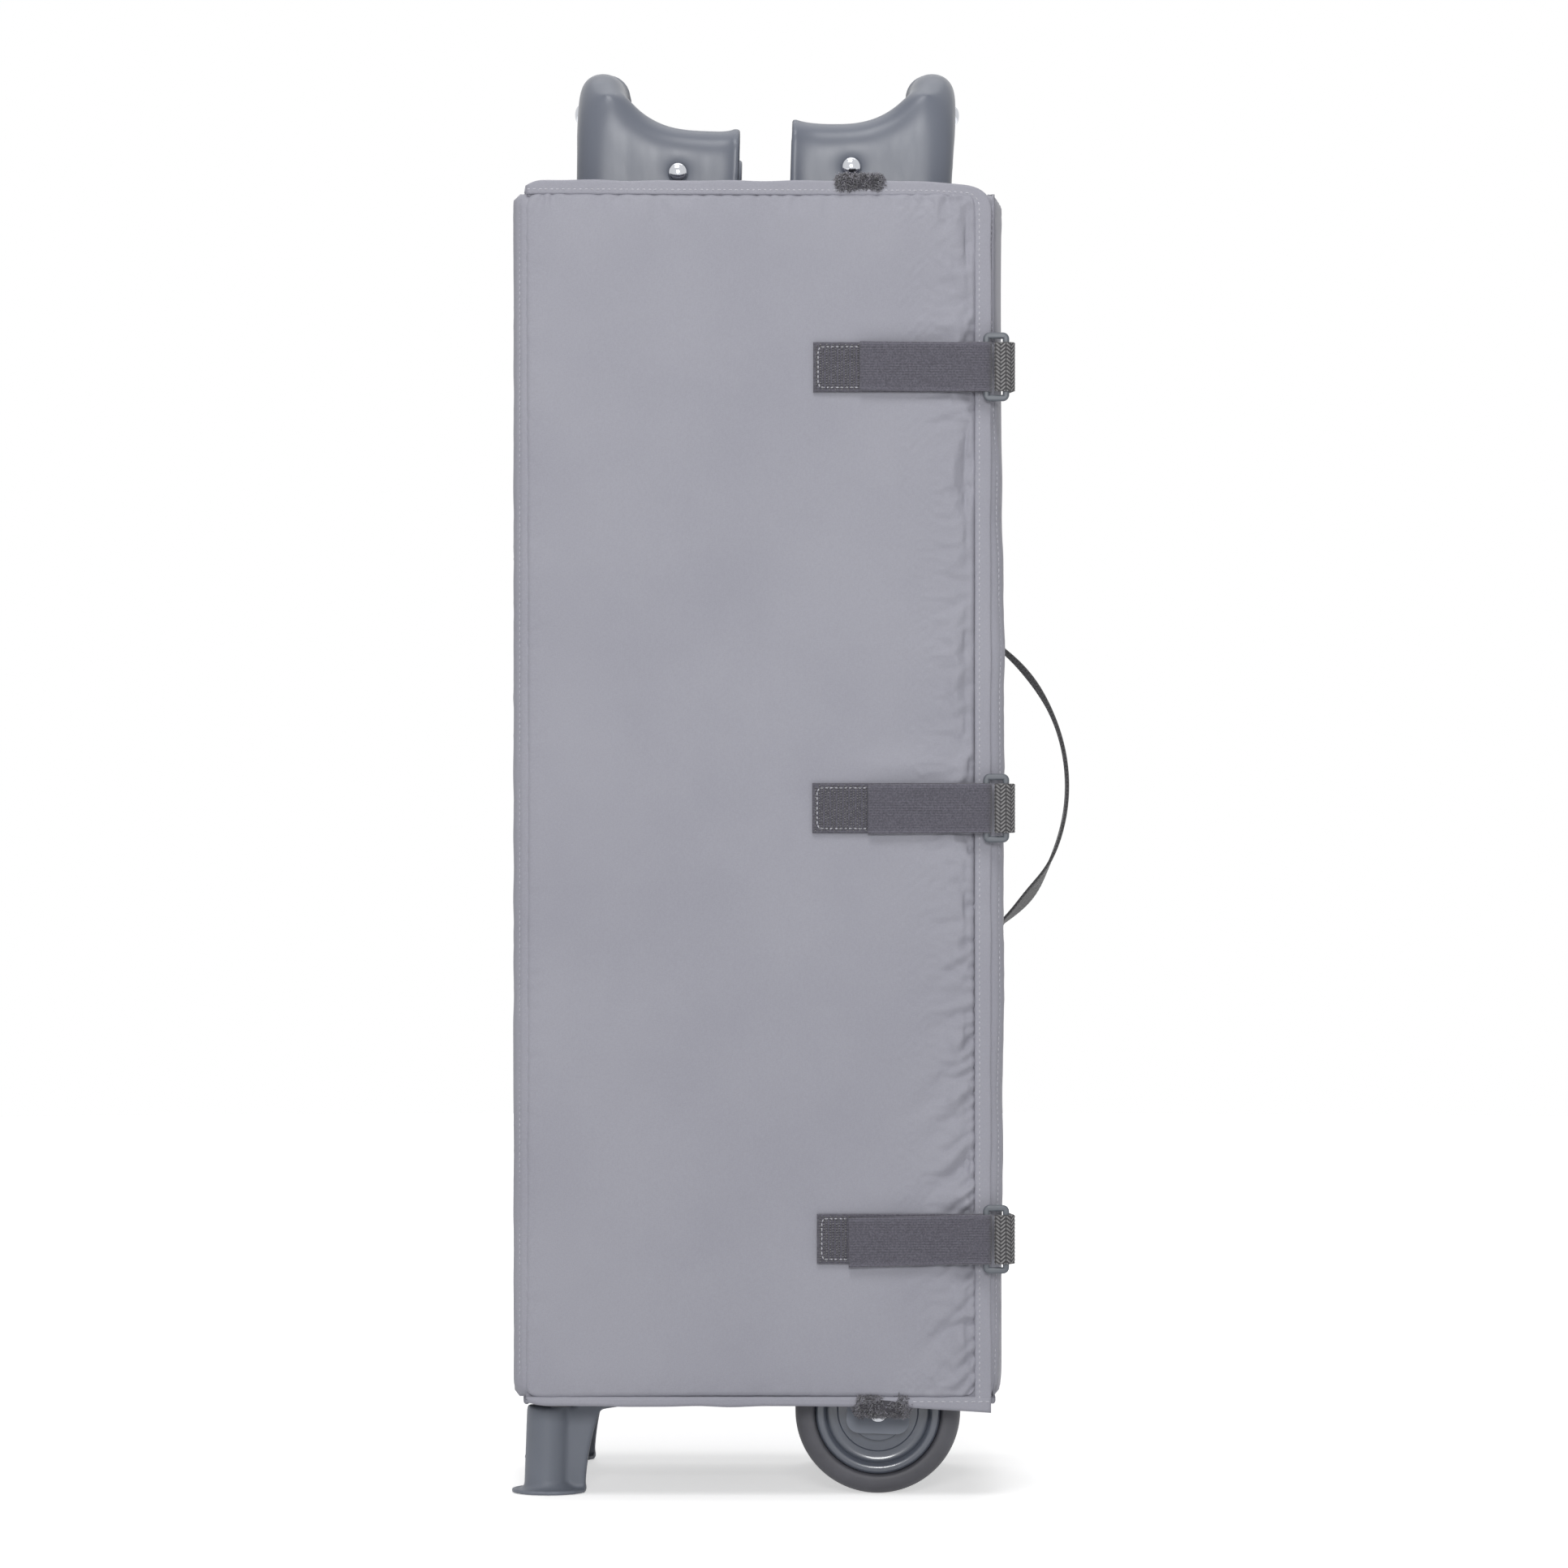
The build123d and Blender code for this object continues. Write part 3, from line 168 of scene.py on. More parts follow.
RIM_LIP = 28 * MM
RIM_STEP = 21.8 * MM
RIM_BOSS = 15.8 * MM
RIM_HOLE = 4.1 * MM
RIM_EDGE = 0.5 * MM
RIM_WEB_DEPTH = 4.5 * MM
RIM_FLOOR_DEPTH = 6.5 * MM
TYRE_SHOULDER = 7.5 * MM
WHEEL_SEGMENTS = 128
RIVET_DOME = 3.2 * MM
RIVET_BRIM = 0.3 * MM

FRAME_LEAN = radians(2.0)
LINING_THICK = 1.2 * MM
WALL_FOLDS = 6
WALL_FOLD_DEPTH = 3.2 * MM
WALL_FOLD_WAVE = 0.9 * MM
FLOOR_REACH = 36 * MM
FLOOR_FOLDS = 9
FLOOR_FOLD_DEPTH = 5.5 * MM
FLOOR_FOLD_WAVE = 0.8 * MM

CLOTH_FRAMES = 20
CLOTH_EASE = 0.03
CLOTH_PRESSURE = 4.0
CLOTH_LIMIT = 5 * MM
LOOSE_SIDE = 12 * MM
LOOSE_FADE = 35 * MM

CAMERA_DISTANCE = 3.5
CAMERA_X = -6.2 * MM
CAMERA_Z = 0.385
VIEW_WIDTH = 0.843
SENSOR = 36.0
WORLD_LIGHT = 0.20
PAPER_GLOW = 0.55
GLOW_REACH = (0.45, 1.3)
FLOOR_RADIUS = 4.0

# Lights: name, place, height of the target, size, power, and whether gloss mirrors it
LIGHTS = (
    ("front_light", (0, -4.2, 1.3), 0.42, 0.9, 58, True),
    ("key_light", (-0.3, -1.6, 2.5), 0.4, 1.0, 23, True),
    ("top_light", (0, 0.3, 2.4), 0.4, 1.8, 12, True),
    ("back_light", (0, 3.4, 2.2), 0.4, 1.2, 44, False),
)

# Finishes: linear colours
FABRIC = (0.350, 0.350, 0.402)
STRAP = (0.115, 0.111, 0.138)
# Webbing: painted shade in the grooves and a painted highlight on the raised threads
WEBBING_LIT_RIDGE = (0.25, 0.246, 0.25)
WEBBING_SHADED_GROOVE = (0.030, 0.029, 0.032)
PILE = (0.165, 0.161, 0.186)
THREAD = (0.56, 0.56, 0.61)
BRACKET = (0.140, 0.154, 0.190)
LEG = (0.182, 0.200, 0.240)
RIM = (0.125, 0.140, 0.175)
TYRE = (0.098, 0.098, 0.112)
RING = (0.112, 0.125, 0.145)
TUBE = (0.075, 0.078, 0.088)
BUTTON = (0.06, 0.06, 0.07)
CHROME = (0.60, 0.615, 0.65)
LINING = (0.085, 0.088, 0.105)
BOARD = (0.30, 0.20, 0.11)


# Materials


SOCKETS = {
    "sheen": "Sheen Weight",
    "sheen_roughness": "Sheen Roughness",
    "specular": "Specular IOR Level",
    "coat": "Coat Weight",
    "coat_roughness": "Coat Roughness",
    "metallic": "Metallic",
}


class Shader:
    """A material whose nodes are added one by one round a Principled shader."""

    def __init__(self, name, roughness, **sockets):
        self.material = bpy.data.materials.new(name)
        self.material.use_nodes = True
        self.tree = self.material.node_tree
        self.bsdf = self.tree.nodes["Principled BSDF"]
        self.bsdf.inputs["Roughness"].default_value = roughness
        for socket, value in sockets.items():
            self.bsdf.inputs[SOCKETS[socket]].default_value = value
        self.coords = self.tree.nodes.new("ShaderNodeTexCoord").outputs["Object"]

    def link(self, output, node, socket):
        self.tree.links.new(output, node.inputs[socket])

    def noise(self, scale, stretch=(1, 1, 1), detail=2.0):
        """Noise of that many waves per metre, stretched along the axes."""
        mapping = self.tree.nodes.new("ShaderNodeMapping")
        mapping.inputs["Scale"].default_value = stretch
        self.link(self.coords, mapping, "Vector")
        texture = self.tree.nodes.new("ShaderNodeTexNoise")
        texture.inputs["Scale"].default_value = scale
        texture.inputs["Detail"].default_value = detail
        self.link(mapping.outputs["Vector"], texture, "Vector")
        return texture.outputs["Fac"]

    def threads(self, pitch, direction):
        """Even threads that lie side by side along X, Y or Z."""
        texture = self.tree.nodes.new("ShaderNodeTexWave")
        texture.bands_direction = direction
        texture.inputs["Scale"].default_value = tau / pitch / 20
        self.link(self.coords, texture, "Vector")
        return texture.outputs["Fac"]

    def attribute(self, name):
        """A value kept on the mesh, point by point."""
        node = self.tree.nodes.new("ShaderNodeAttribute")
        node.attribute_name = name
        return node.outputs["Fac"]

    def math(self, operation, first, second):
        node = self.tree.nodes.new("ShaderNodeMath")
        node.operation = operation
        for index, value in enumerate((first, second)):
            if isinstance(value, (int, float)):
                node.inputs[index].default_value = value
            else:
                self.tree.links.new(value, node.inputs[index])
        return node.outputs["Value"]

    def ramp(self, factor, dark, light, low=0.3, high=0.7):
        """Colours from dark to light as the factor goes from low to high."""
        node = self.tree.nodes.new("ShaderNodeValToRGB")
        for element, place, colour in zip(node.color_ramp.elements, (low, high), (dark, light)):
            element.position = place
            element.color = (*colour, 1)
        self.link(factor, node, "Fac")
        return node.outputs["Color"]

    def mix(self, factor, first, second, blend="MIX"):
        node = self.tree.nodes.new("ShaderNodeMix")
        node.data_type = "RGBA"
        node.blend_type = blend
        if isinstance(factor, (int, float)):
            node.inputs[0].default_value = factor
        else:
            self.tree.links.new(factor, node.inputs[0])
        self.tree.links.new(first, node.inputs[6])
        self.tree.links.new(second, node.inputs[7])
        return node.outputs[2]

    def colour(self, output):
        self.link(output, self.bsdf, "Base Color")

    def roughness(self, factor, low, high):
        """Roughness that follows a factor from low to high."""
        node = self.tree.nodes.new("ShaderNodeMapRange")
        node.inputs["To Min"].default_value = low
        node.inputs["To Max"].default_value = high
        self.link(factor, node, "Value")
        self.link(node.outputs["Result"], self.bsdf, "Roughness")

    def bump(self, height, strength, distance):
        """Fine relief, over any relief that is there already."""
        node = self.tree.nodes.new("ShaderNodeBump")
        node.inputs["Strength"].default_value = strength
        node.inputs["Distance"].default_value = distance
        self.link(height, node, "Height")
        if self.bsdf.inputs["Normal"].is_linked:
            self.link(self.bsdf.inputs["Normal"].links[0].from_socket, node, "Normal")
        self.link(node.outputs["Normal"], self.bsdf, "Normal")


def shade(colour, factor):
    """A colour made lighter or darker."""
    return tuple(part * factor for part in colour)


def cloth_material(name, colour, pitch, contrast, sheen):
    """Woven cloth: fine threads both ways, uneven yarn and slow changes of tone."""
    made = Shader(name, 0.62, sheen=sheen, sheen_roughness=0.5, specular=0.35)
    level = made.noise(2400, (1, 1, 0.3))
    upright = made.noise(2400, (0.3, 0.3, 1))
    yarn = made.math("MULTIPLY", made.math("ADD", level, upright), 0.5)
    tone = made.ramp(yarn, shade(colour, 1 - contrast), shade(colour, 1 + contrast), 0.38, 0.62)
    cloud = made.ramp(made.noise(14, detail=4.0), (0.96, 0.96, 0.965), (1.03, 1.03, 1.025), 0.35, 0.65)
    made.colour(made.mix(1.0, tone, cloud, "MULTIPLY"))
    made.roughness(yarn, 0.55, 0.72)
    weave = made.math("MAXIMUM", made.threads(pitch, "Z"), made.threads(pitch, "X"))
    made.bump(made.math("ADD", weave, yarn), 0.25, 0.12 * MM)
    return made.material


def loop_material():
    """The strap's brushed loop face, with a fine knit below the nap, and a painted highlight along its
    raised edges.
    """
    made = Shader("strap_loop", 0.85, sheen=0.35, sheen_roughness=0.6, specular=0.2)
    nap = made.noise(1100, (1, 1, 1), 4.0)
    rows = made.threads(0.9 * MM, "Z")
    # Painted highlight: the flap's raised edges lighten its colour
    edge = made.math("MULTIPLY", made.attribute("relief"), 0.3)
    height = made.math("ADD", made.math("ADD", nap, edge), made.math("MULTIPLY", rows, 0.35))
    made.colour(made.ramp(height, shade(STRAP, 0.6), shade(STRAP, 1.42), 0.48, 0.98))
    made.bump(height, 0.55, 0.25 * MM)
    return made.material


def webbing_material(name, dark, light):
    """Coarse woven webbing, whose thread heights are kept on the mesh; its colour follows them, with
    painted shade in the grooves and a painted highlight on the raised threads.
    """
    made = Shader(name, 0.6, sheen=0.2, specular=0.4)
    height = made.math("ADD", made.attribute("relief"), made.math("MULTIPLY", made.noise(2200), 0.4))
    # Painted light: low threads are shaded and raised ones lit in the colour
    made.colour(made.ramp(height, dark, light, 0.5, 0.95))
    made.bump(made.noise(2600, (1, 1, 0.3)), 0.4, 0.15 * MM)
    return made.material


def pile_material():
    """Brushed loop pile, dark at the roots and light at the tips: painted shade among the fibres, over a
    random tone from tuft to tuft.
    """
    made = Shader("loop_pile", 0.9, sheen=0.5, sheen_roughness=0.5, specular=0.15)
    # Painted shade towards the roots, lighter towards the tips
    made.colour(made.ramp(made.attribute("relief"), shade(PILE, 0.5), shade(PILE, 2.6), 0.0, 1.0))
    made.bump(made.noise(2400), 0.5, 0.2 * MM)
    return made.material


def thread_material():
    """Twisted sewing thread."""
    made = Shader("sewing_thread", 0.5, sheen=0.3, specular=0.45)
    made.colour(made.ramp(made.noise(1500), shade(THREAD, 0.8), shade(THREAD, 1.1)))
    made.bump(made.noise(5000, (1, 1, 3)), 0.3, 0.05 * MM)
    return made.material


def plastic_material(name, colour, roughness, grain, coat=0.0, specular=0.5):
    """Moulded plastic with a fine spark grain, faint flow marks and a little scuffing."""
    made = Shader(name, roughness, specular=specular, coat=coat, coat_roughness=0.12)
    flow = made.noise(9, (1, 1, 0.5), 4.0)
    made.colour(made.ramp(flow, shade(colour, 0.95), shade(colour, 1.05)))
    scuff = made.noise(160, (1, 1, 0.25), 5.0)
    made.roughness(scuff, roughness - 0.05, roughness + 0.08)
    made.bump(made.noise(1500), grain, 0.05 * MM)
    return made.material


def rubber_material():
    """Matt rubber with a little dust."""
    made = Shader("tyre_rubber", 0.55, specular=0.45)
    dust = made.noise(60, detail=6.0)
    made.colour(made.ramp(dust, shade(TYRE, 0.9), shade(TYRE, 1.18)))
    made.roughness(dust, 0.42, 0.62)
    made.bump(made.noise(900), 0.12, 0.08 * MM)
    return made.material


def metal_material(name, colour, roughness):
    """Bright metal with faint wear."""
    made = Shader(name, roughness, metallic=1.0)
    wear = made.noise(700, (1, 1, 0.4), 4.0)
    made.colour(made.ramp(wear, shade(colour, 0.94), colour))
    made.roughness(wear, roughness, roughness + 0.07)
    return made.material


def paint_material():
    """Powder coat with its orange-peel texture."""
    made = Shader("tube_paint", 0.4, specular=0.5)
    peel = made.noise(1400, detail=1.0)
    made.colour(made.ramp(made.noise(30, detail=4.0), shade(TUBE, 0.92), shade(TUBE, 1.1)))
    made.roughness(peel, 0.34, 0.48)
    made.bump(peel, 0.15, 0.06 * MM)
    return made.material


def board_material():
    """Raw pressed board."""
    made = Shader("hardboard", 0.75)
    made.colour(made.ramp(made.noise(300, (1, 1, 0.3), 5.0), shade(BOARD, 0.8), shade(BOARD, 1.15)))
    made.bump(made.noise(900), 0.2, 0.1 * MM)
    return made.material


FABRIC_LOOK = cloth_material("mattress_fabric", FABRIC, 0.45 * MM, 0.04, 0.12)
LINING_LOOK = cloth_material("lining_cloth", LINING, 0.6 * MM, 0.08, 0.2)
LOOP_LOOK = loop_material()
TAB_LOOK = webbing_material("tab_webbing", WEBBING_SHADED_GROOVE, WEBBING_LIT_RIDGE)
HANDLE_LOOK = webbing_material("handle_webbing", shade(WEBBING_SHADED_GROOVE, 0.8), shade(WEBBING_LIT_RIDGE, 0.5))
PILE_LOOK = pile_material()
THREAD_LOOK = thread_material()
BRACKET_LOOK = plastic_material("bracket_plastic", BRACKET, 0.34, 0.05, specular=0.45)
LEG_LOOK = plastic_material("frame_plastic", LEG, 0.5, 0.08)
RIM_LOOK = plastic_material("rim_plastic", RIM, 0.22, 0.01, coat=0.6)
RING_LOOK = plastic_material("ring_plastic", RING, 0.38, 0.05)
BUTTON_LOOK = plastic_material("button_plastic", BUTTON, 0.3, 0.03)
TYRE_LOOK = rubber_material()
CHROME_LOOK = metal_material("rivet_metal", CHROME, 0.08)
PAINT_LOOK = paint_material()
BOARD_LOOK = board_material()


# Mesh helpers


def new_object(name, vertices, faces, look, body=None):
    """A smooth mesh object; it rides on the body where one is given."""
    mesh = bpy.data.meshes.new(name)
    mesh.from_pydata([tuple(v) for v in vertices], [], [tuple(f) for f in faces])
    mesh.validate()
    shell = bmesh.new()
    shell.from_mesh(mesh)
    bmesh.ops.recalc_face_normals(shell, faces=shell.faces)
    shell.to_mesh(mesh)
    shell.free()
    mesh.polygons.foreach_set("use_smooth", [True] * len(mesh.polygons))
    mesh.materials.append(look)
    made = bpy.data.objects.new(name, mesh)
    bpy.context.scene.collection.objects.link(made)
    if body:
        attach(made, body)
    return made


def keep_relief(piece, values):
    """Stores thread heights on a mesh for its material, which paints shade on the low parts and light on
    the raised ones.
    """
    layer = piece.data.attributes.new("relief", "FLOAT", "POINT")
    layer.data.foreach_set("value", np.asarray(values, np.float32))


def joined(parts):
    """One list of vertices and faces from several."""
    vertices, faces, start = [], [], 0
    for part_vertices, part_faces in parts:
        vertices.append(np.asarray(part_vertices, float))
        faces += [[index + start for index in face] for face in part_faces]
        start += len(part_vertices)
    return np.concatenate(vertices), faces


def grid_faces(rows, columns, closed=False):
    """Quads between rows of points; closed joins each row's end to its start."""
    wide = columns if closed else columns - 1
    faces = []
    for start in range(0, (rows - 1) * columns, columns):
        for here in range(wide):
            after = (here + 1) % columns
            faces.append((start + here, start + after, start + columns + after, start + columns + here))
    return faces


def tube_faces(rows, columns):
    """The faces of a tube made of rings of points, with a cap at each end."""
    total = rows * columns
    caps = [tuple(range(columns))[::-1], tuple(range(total - columns, total))]
    return grid_faces(rows, columns, closed=True) + caps


def resample(points, step, passes=0):
    """Points evenly spaced along a polyline, with its corners eased."""
    points = np.asarray(points, float)
    for _ in range(2):
        lengths = np.linalg.norm(np.diff(points, axis=0), axis=1)
        along = np.concatenate([[0], np.cumsum(lengths)])
        count = max(int(along[-1] / step), 2) + 1
        even_places = np.linspace(0, along[-1], count)
        points = np.stack([np.interp(even_places, along, column) for column in points.T], axis=1)
        for _ in range(passes):
            points[1:-1] = (points[:-2] + 2 * points[1:-1] + points[2:]) / 4
    return points


def unit(vectors):
    """Vectors scaled to a length of one."""
    vectors = np.asarray(vectors, float)
    return vectors / np.linalg.norm(vectors, axis=-1, keepdims=True)


def band_section(width, thick, columns):
    """A flat band's section with rounded edges, as offsets across and out, once round."""
    round_angles = np.radians([60, 30, 0, -30, -60])
    half, edge = width / 2 - thick / 2, thick / 2
    across = np.linspace(-half, half, columns)
    front = [(a, edge) for a in across]
    right = [(half + edge * cos(t), edge * sin(t)) for t in round_angles]
    back = [(a, -edge) for a in across[::-1]]
    left = [(-half - edge * cos(t), -edge * sin(t)) for t in round_angles]
    return np.array(front + right + back + left)


def band(points, sides, width, thick, columns, relief=None):
    """Vertices, faces and relief of a band along points, whose width lies along the side vectors.
    relief(along, across) lifts both faces."""
    points = np.asarray(points, float)
    count = len(points)
    tangents = unit(np.gradient(points, axis=0))
    sides = unit(np.broadcast_to(np.asarray(sides, float), points.shape))
    normals = unit(np.cross(tangents, sides))
    widths = np.broadcast_to(np.asarray(width, float), (count,))
    lengths = np.linalg.norm(np.diff(points, axis=0), axis=1)
    along = np.concatenate([[0], np.cumsum(lengths)])
    rows, heights = [], []
    for index in range(count):
        section = band_section(widths[index], thick, columns)
        lift = np.zeros(len(section))
        if relief:
            lift = relief(along[index], section[:, 0])
        out = section[:, 1] * (1 + 2 * lift / thick)
        rows.append(points[index] + np.outer(section[:, 0], sides[index]) + np.outer(out, normals[index]))
        heights.append(lift)
    return np.concatenate(rows), tube_faces(count, len(rows[0])), np.concatenate(heights)


def turned(profile, centre, axis, segments=96):
    """A solid of revolution: profile holds (radius, along) pairs from end to end."""
    axis = unit(axis)
    start = unit(np.cross(axis, (0.3, 0.5, 0.8)))
    other = np.cross(axis, start)
    angles = np.linspace(0, tau, segments, endpoint=False)
    ring = np.outer(np.cos(angles), start) + np.outer(np.sin(angles), other)
    rows = [np.asarray(centre) + radius * ring + along * axis for radius, along in profile]
    return np.concatenate(rows), tube_faces(len(rows), segments)


def capsule(centre, direction, out, length, radius):
    """One stitch: a short thread that dips into the cloth at both ends."""
    direction, out = unit(direction), unit(out)
    side = np.cross(direction, out)
    turn = np.linspace(0, tau, STITCH_SIDES, endpoint=False)
    ring = np.outer(np.cos(turn), side) + np.outer(np.sin(turn), out)
    rows = []
    for place in np.linspace(-1, 1, STITCH_RINGS):
        swell = radius * sqrt(max(1 - place**2, 0.03))
        middle = centre + direction * place * length / 2 - out * radius * 0.9 * place**2
        rows.append(middle + swell * ring)
    return np.concatenate(rows), tube_faces(STITCH_RINGS, STITCH_SIDES)


def stitch_row(path, out, random, pitch=STITCH_PITCH, length=STITCH_LENGTH, radius=STITCH_RADIUS):
    """Stitches along a path, a little uneven."""
    points = resample(path, pitch)
    outs = np.broadcast_to(np.asarray(out, float), points.shape)
    parts = []
    for before, after, lift in zip(points[:-1], points[1:], outs):
        way = after - before + random.normal(0, 0.08, 3) * pitch
        parts.append(capsule((before + after) / 2, way, lift, length * random.uniform(0.88, 1.08), radius))
    return parts


def bell(values, centre, width):
    """A smooth bump of height one round a centre."""
    return np.exp(-(((values - centre) / width) ** 2))


def even(value):
    """A function that is the same everywhere."""
    return lambda at: value


def smooth_noise(values, seed):
    """A slow random curve through evenly spaced values, between -1 and 1."""
    random = np.random.default_rng(seed)
    knots = random.uniform(-1, 1, 64)
    values = np.asarray(values, float) % 63
    low = np.floor(values).astype(int)
    part = values - low
    ease = part * part * (3 - 2 * part)
    return knots[low] * (1 - ease) + knots[(low + 1) % 64] * ease


def islands(node):
    """The separate solids of a CAD node, as arrays of points."""
    mesh = frame["nodes"][node].data
    points = np.array([v.co for v in mesh.vertices])
    keys = {}
    same = np.array([keys.setdefault(tuple(np.round(p, 6)), len(keys)) for p in points])
    parent = list(range(len(keys)))

    def root(index):
        while parent[index] != index:
            parent[index] = parent[parent[index]]
            index = parent[index]
        return index

    for edge in mesh.edges:
        first, second = (root(same[v]) for v in edge.vertices)
        parent[first] = second
    labels = np.array([root(s) for s in same])
    return [points[labels == label] for label in np.unique(labels)]


# Mattress panels


FRONT_BOX, LEFT_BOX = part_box("mattress_panel_front"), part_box("mattress_panel_left")
REAR_BOX, RIGHT_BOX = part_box("mattress_panel_rear"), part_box("mattress_panel_right")
FRONT, LEFT, REAR, RIGHT = FRONT_BOX[0].y, LEFT_BOX[0].x, REAR_BOX[1].y, RIGHT_BOX[1].x
BOTTOM, TOP = FRONT_BOX[0].z, FRONT_BOX[1].z
PAD_BOTTOM, PAD_TOP = BOTTOM + LOWER_HEM, TOP - HEM_WIDTH
STRAPS = {place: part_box(f"strap_{place}_base") for place in FLAP_TILT}
STRAP_HEIGHTS = {place: (low.z + high.z) / 2 for place, (low, high) in STRAPS.items()}


class Panel:
    """One side of the wrap: u runs across it, z up, and out points away from the frame."""

    def __init__(self, name, start, end, across, out, face, seed, closing=False):
        self.name, self.start, self.end = name, start, end
        self.across, self.out, self.face = np.array(across, float), np.array(out, float), face
        self.seed, self.closing = seed, closing
        self.pad_end = end - (CLOSING_HEM if closing else 0)

    def point(self, u, z, height):
        """The place that far across, up and out from the face."""
        u, z, height = np.broadcast_arrays(*(np.asarray(a, float) for a in (u, z, height)))
        flat = u[..., None] * self.across + z[..., None] * np.array((0, 0, 1.0))
        return flat + (self.face + height)[..., None] * self.out


PANELS = {
    "front": Panel("front", FRONT_BOX[0].x, FRONT_BOX[1].x, (1, 0, 0), (0, -1, 0), -FRONT, 1, True),
    "left": Panel("left", -LEFT_BOX[1].y, -LEFT_BOX[0].y, (0, -1, 0), (-1, 0, 0), -LEFT, 2),
    "rear": Panel("rear", REAR_BOX[0].x, REAR_BOX[1].x, (1, 0, 0), (0, 1, 0), REAR, 3),
    "right": Panel("right", -RIGHT_BOX[1].y, -RIGHT_BOX[0].y, (0, -1, 0), (1, 0, 0), RIGHT, 4),
}


def upward_share(z):
    """A height as a share of the pads' height, from their lower seam up."""
    return (z - PAD_BOTTOM) / (PAD_TOP - PAD_BOTTOM)


def corner_inset(z):
    """How far the closing corner's edge is pulled in at each height: most at its ends."""
    share = upward_share(z)
    upper = CORNER_PULL_UPPER * np.clip((share - 0.62) / 0.26, 0, 1) ** 1.3
    lower = CORNER_PULL_LOWER * np.clip((0.4 - share) / 0.4, 0, 1) ** 1.3
    return upper + lower + CORNER_WAVE * (1 + smooth_noise(z / (24 * MM), 5))


def puckers(place, reach, length, seed, weight, slant):
    """Gathers along a seam: place runs along it and reach away from it, into the pad.
    Each is a short slanting valley; weight(place) makes them deeper or fainter."""
    random = np.random.default_rng(seed)
    total = np.zeros(place.shape)
    at = place.min()
    while at < place.max():
        at += random.uniform(*GATHER_PITCH)
        wide = random.uniform(*GATHER_WIDTH)
        long = length * random.uniform(0.5, 1.6)
        deep = random.uniform(*GATHER_DEPTH) * weight(at)
        lean = slant(at) + random.normal(0, 0.22)
        line = (place - at + lean * reach) / (wide * (1 + 1.3 * reach / long))
        fade = bell(reach, 0, long) * (0.75 + 0.5 * np.minimum(reach / wide, 1))
        total += deep * (0.5 * bell(line, 1.5, 1) - bell(line, 0, 1)) * fade
    return total


def closing_weight(at):
    """Gathers on the closing side: strong below, and close to the straps."""
    low = np.clip((0.52 - upward_share(at)) / 0.2, 0, 1)
    near = sum(bell(at, height, 24 * MM) for height in STRAP_HEIGHTS.values())
    return 0.22 + 1.05 * low + 0.4 * near


def closing_slant(at):
    """Gathers near the lower strap are dragged downwards most."""
    return 0.2 + 0.75 * np.clip((0.42 - upward_share(at)) / 0.3, 0, 1)


def pad_height(panel, u, z):
    """How far the pad's outer cloth lies from the panel's face."""
    sides = [u - panel.start, panel.pad_end - u, z - PAD_BOTTOM, PAD_TOP - z]
    inside = np.clip(np.minimum.reduce(sides) / (3 * SHOULDER_WIDTH), 0, 1)
    slow = smooth_noise(u / SAG_LENGTH + 7, panel.seed) * smooth_noise(z / SAG_LENGTH + 3, panel.seed + 50)
    height = SAG_HEIGHT * (slow - 0.6) * inside
    slopes = ((ROLL_DROP - SHOULDER_DROP, ROLL_WIDTH, 2.0), (SHOULDER_DROP, SHOULDER_WIDTH, 2.4))
    for drop, width, power in slopes:
        fall = [np.clip(1 - side / width, 0, 1) ** power for side in sides]
        height -= drop * (1 - (1 - np.maximum(fall[0], fall[1])) * (1 - np.maximum(fall[2], fall[3])))
    return height


def gathers(panel, u, z):
    """The gathers along a pad's four seams, as heights."""
    side, lengths = (closing_weight, closing_slant), (17 * MM, 8 * MM, 7 * MM, 10 * MM)
    if not panel.closing:
        side, lengths = (even(0.3), even(0)), (9 * MM, 8 * MM, 7 * MM, 10 * MM)
    looks = (side, (even(0.2), even(0)), (even(0.3), even(0)), (even(0.8), even(0.1)))
    seams = ((z, panel.pad_end - u), (z, u - panel.start), (u, z - PAD_BOTTOM), (u, PAD_TOP - z))
    total = np.zeros(u.shape)
    for number, ((along, reach), length, (weight, slant)) in enumerate(zip(seams, lengths, looks)):
        total += puckers(along, reach, length, panel.seed + 10 * number, weight, slant)
    return total


def strap_dents(height, u, z):
    """The front pad gives under the cinched straps and swells beside them."""
    for place, at in STRAP_HEIGHTS.items():
        begin = STRAPS[place][0].x
        pull = np.clip((u - begin) / (70 * MM), 0, 1) ** 1.5
        under = np.exp(-(((z - at) / (STRAP_WIDTH * 0.62)) ** 4))
        height -= STRAP_DENT * under * pull
        over = bell(z, at + STRAP_WIDTH / 2 + STRAP_SWELL_RISE, 7 * MM)
        beside = bell(u, begin + STRAP_SWELL_START, 30 * MM)
        height += STRAP_SWELL[place] * over * beside
    return height


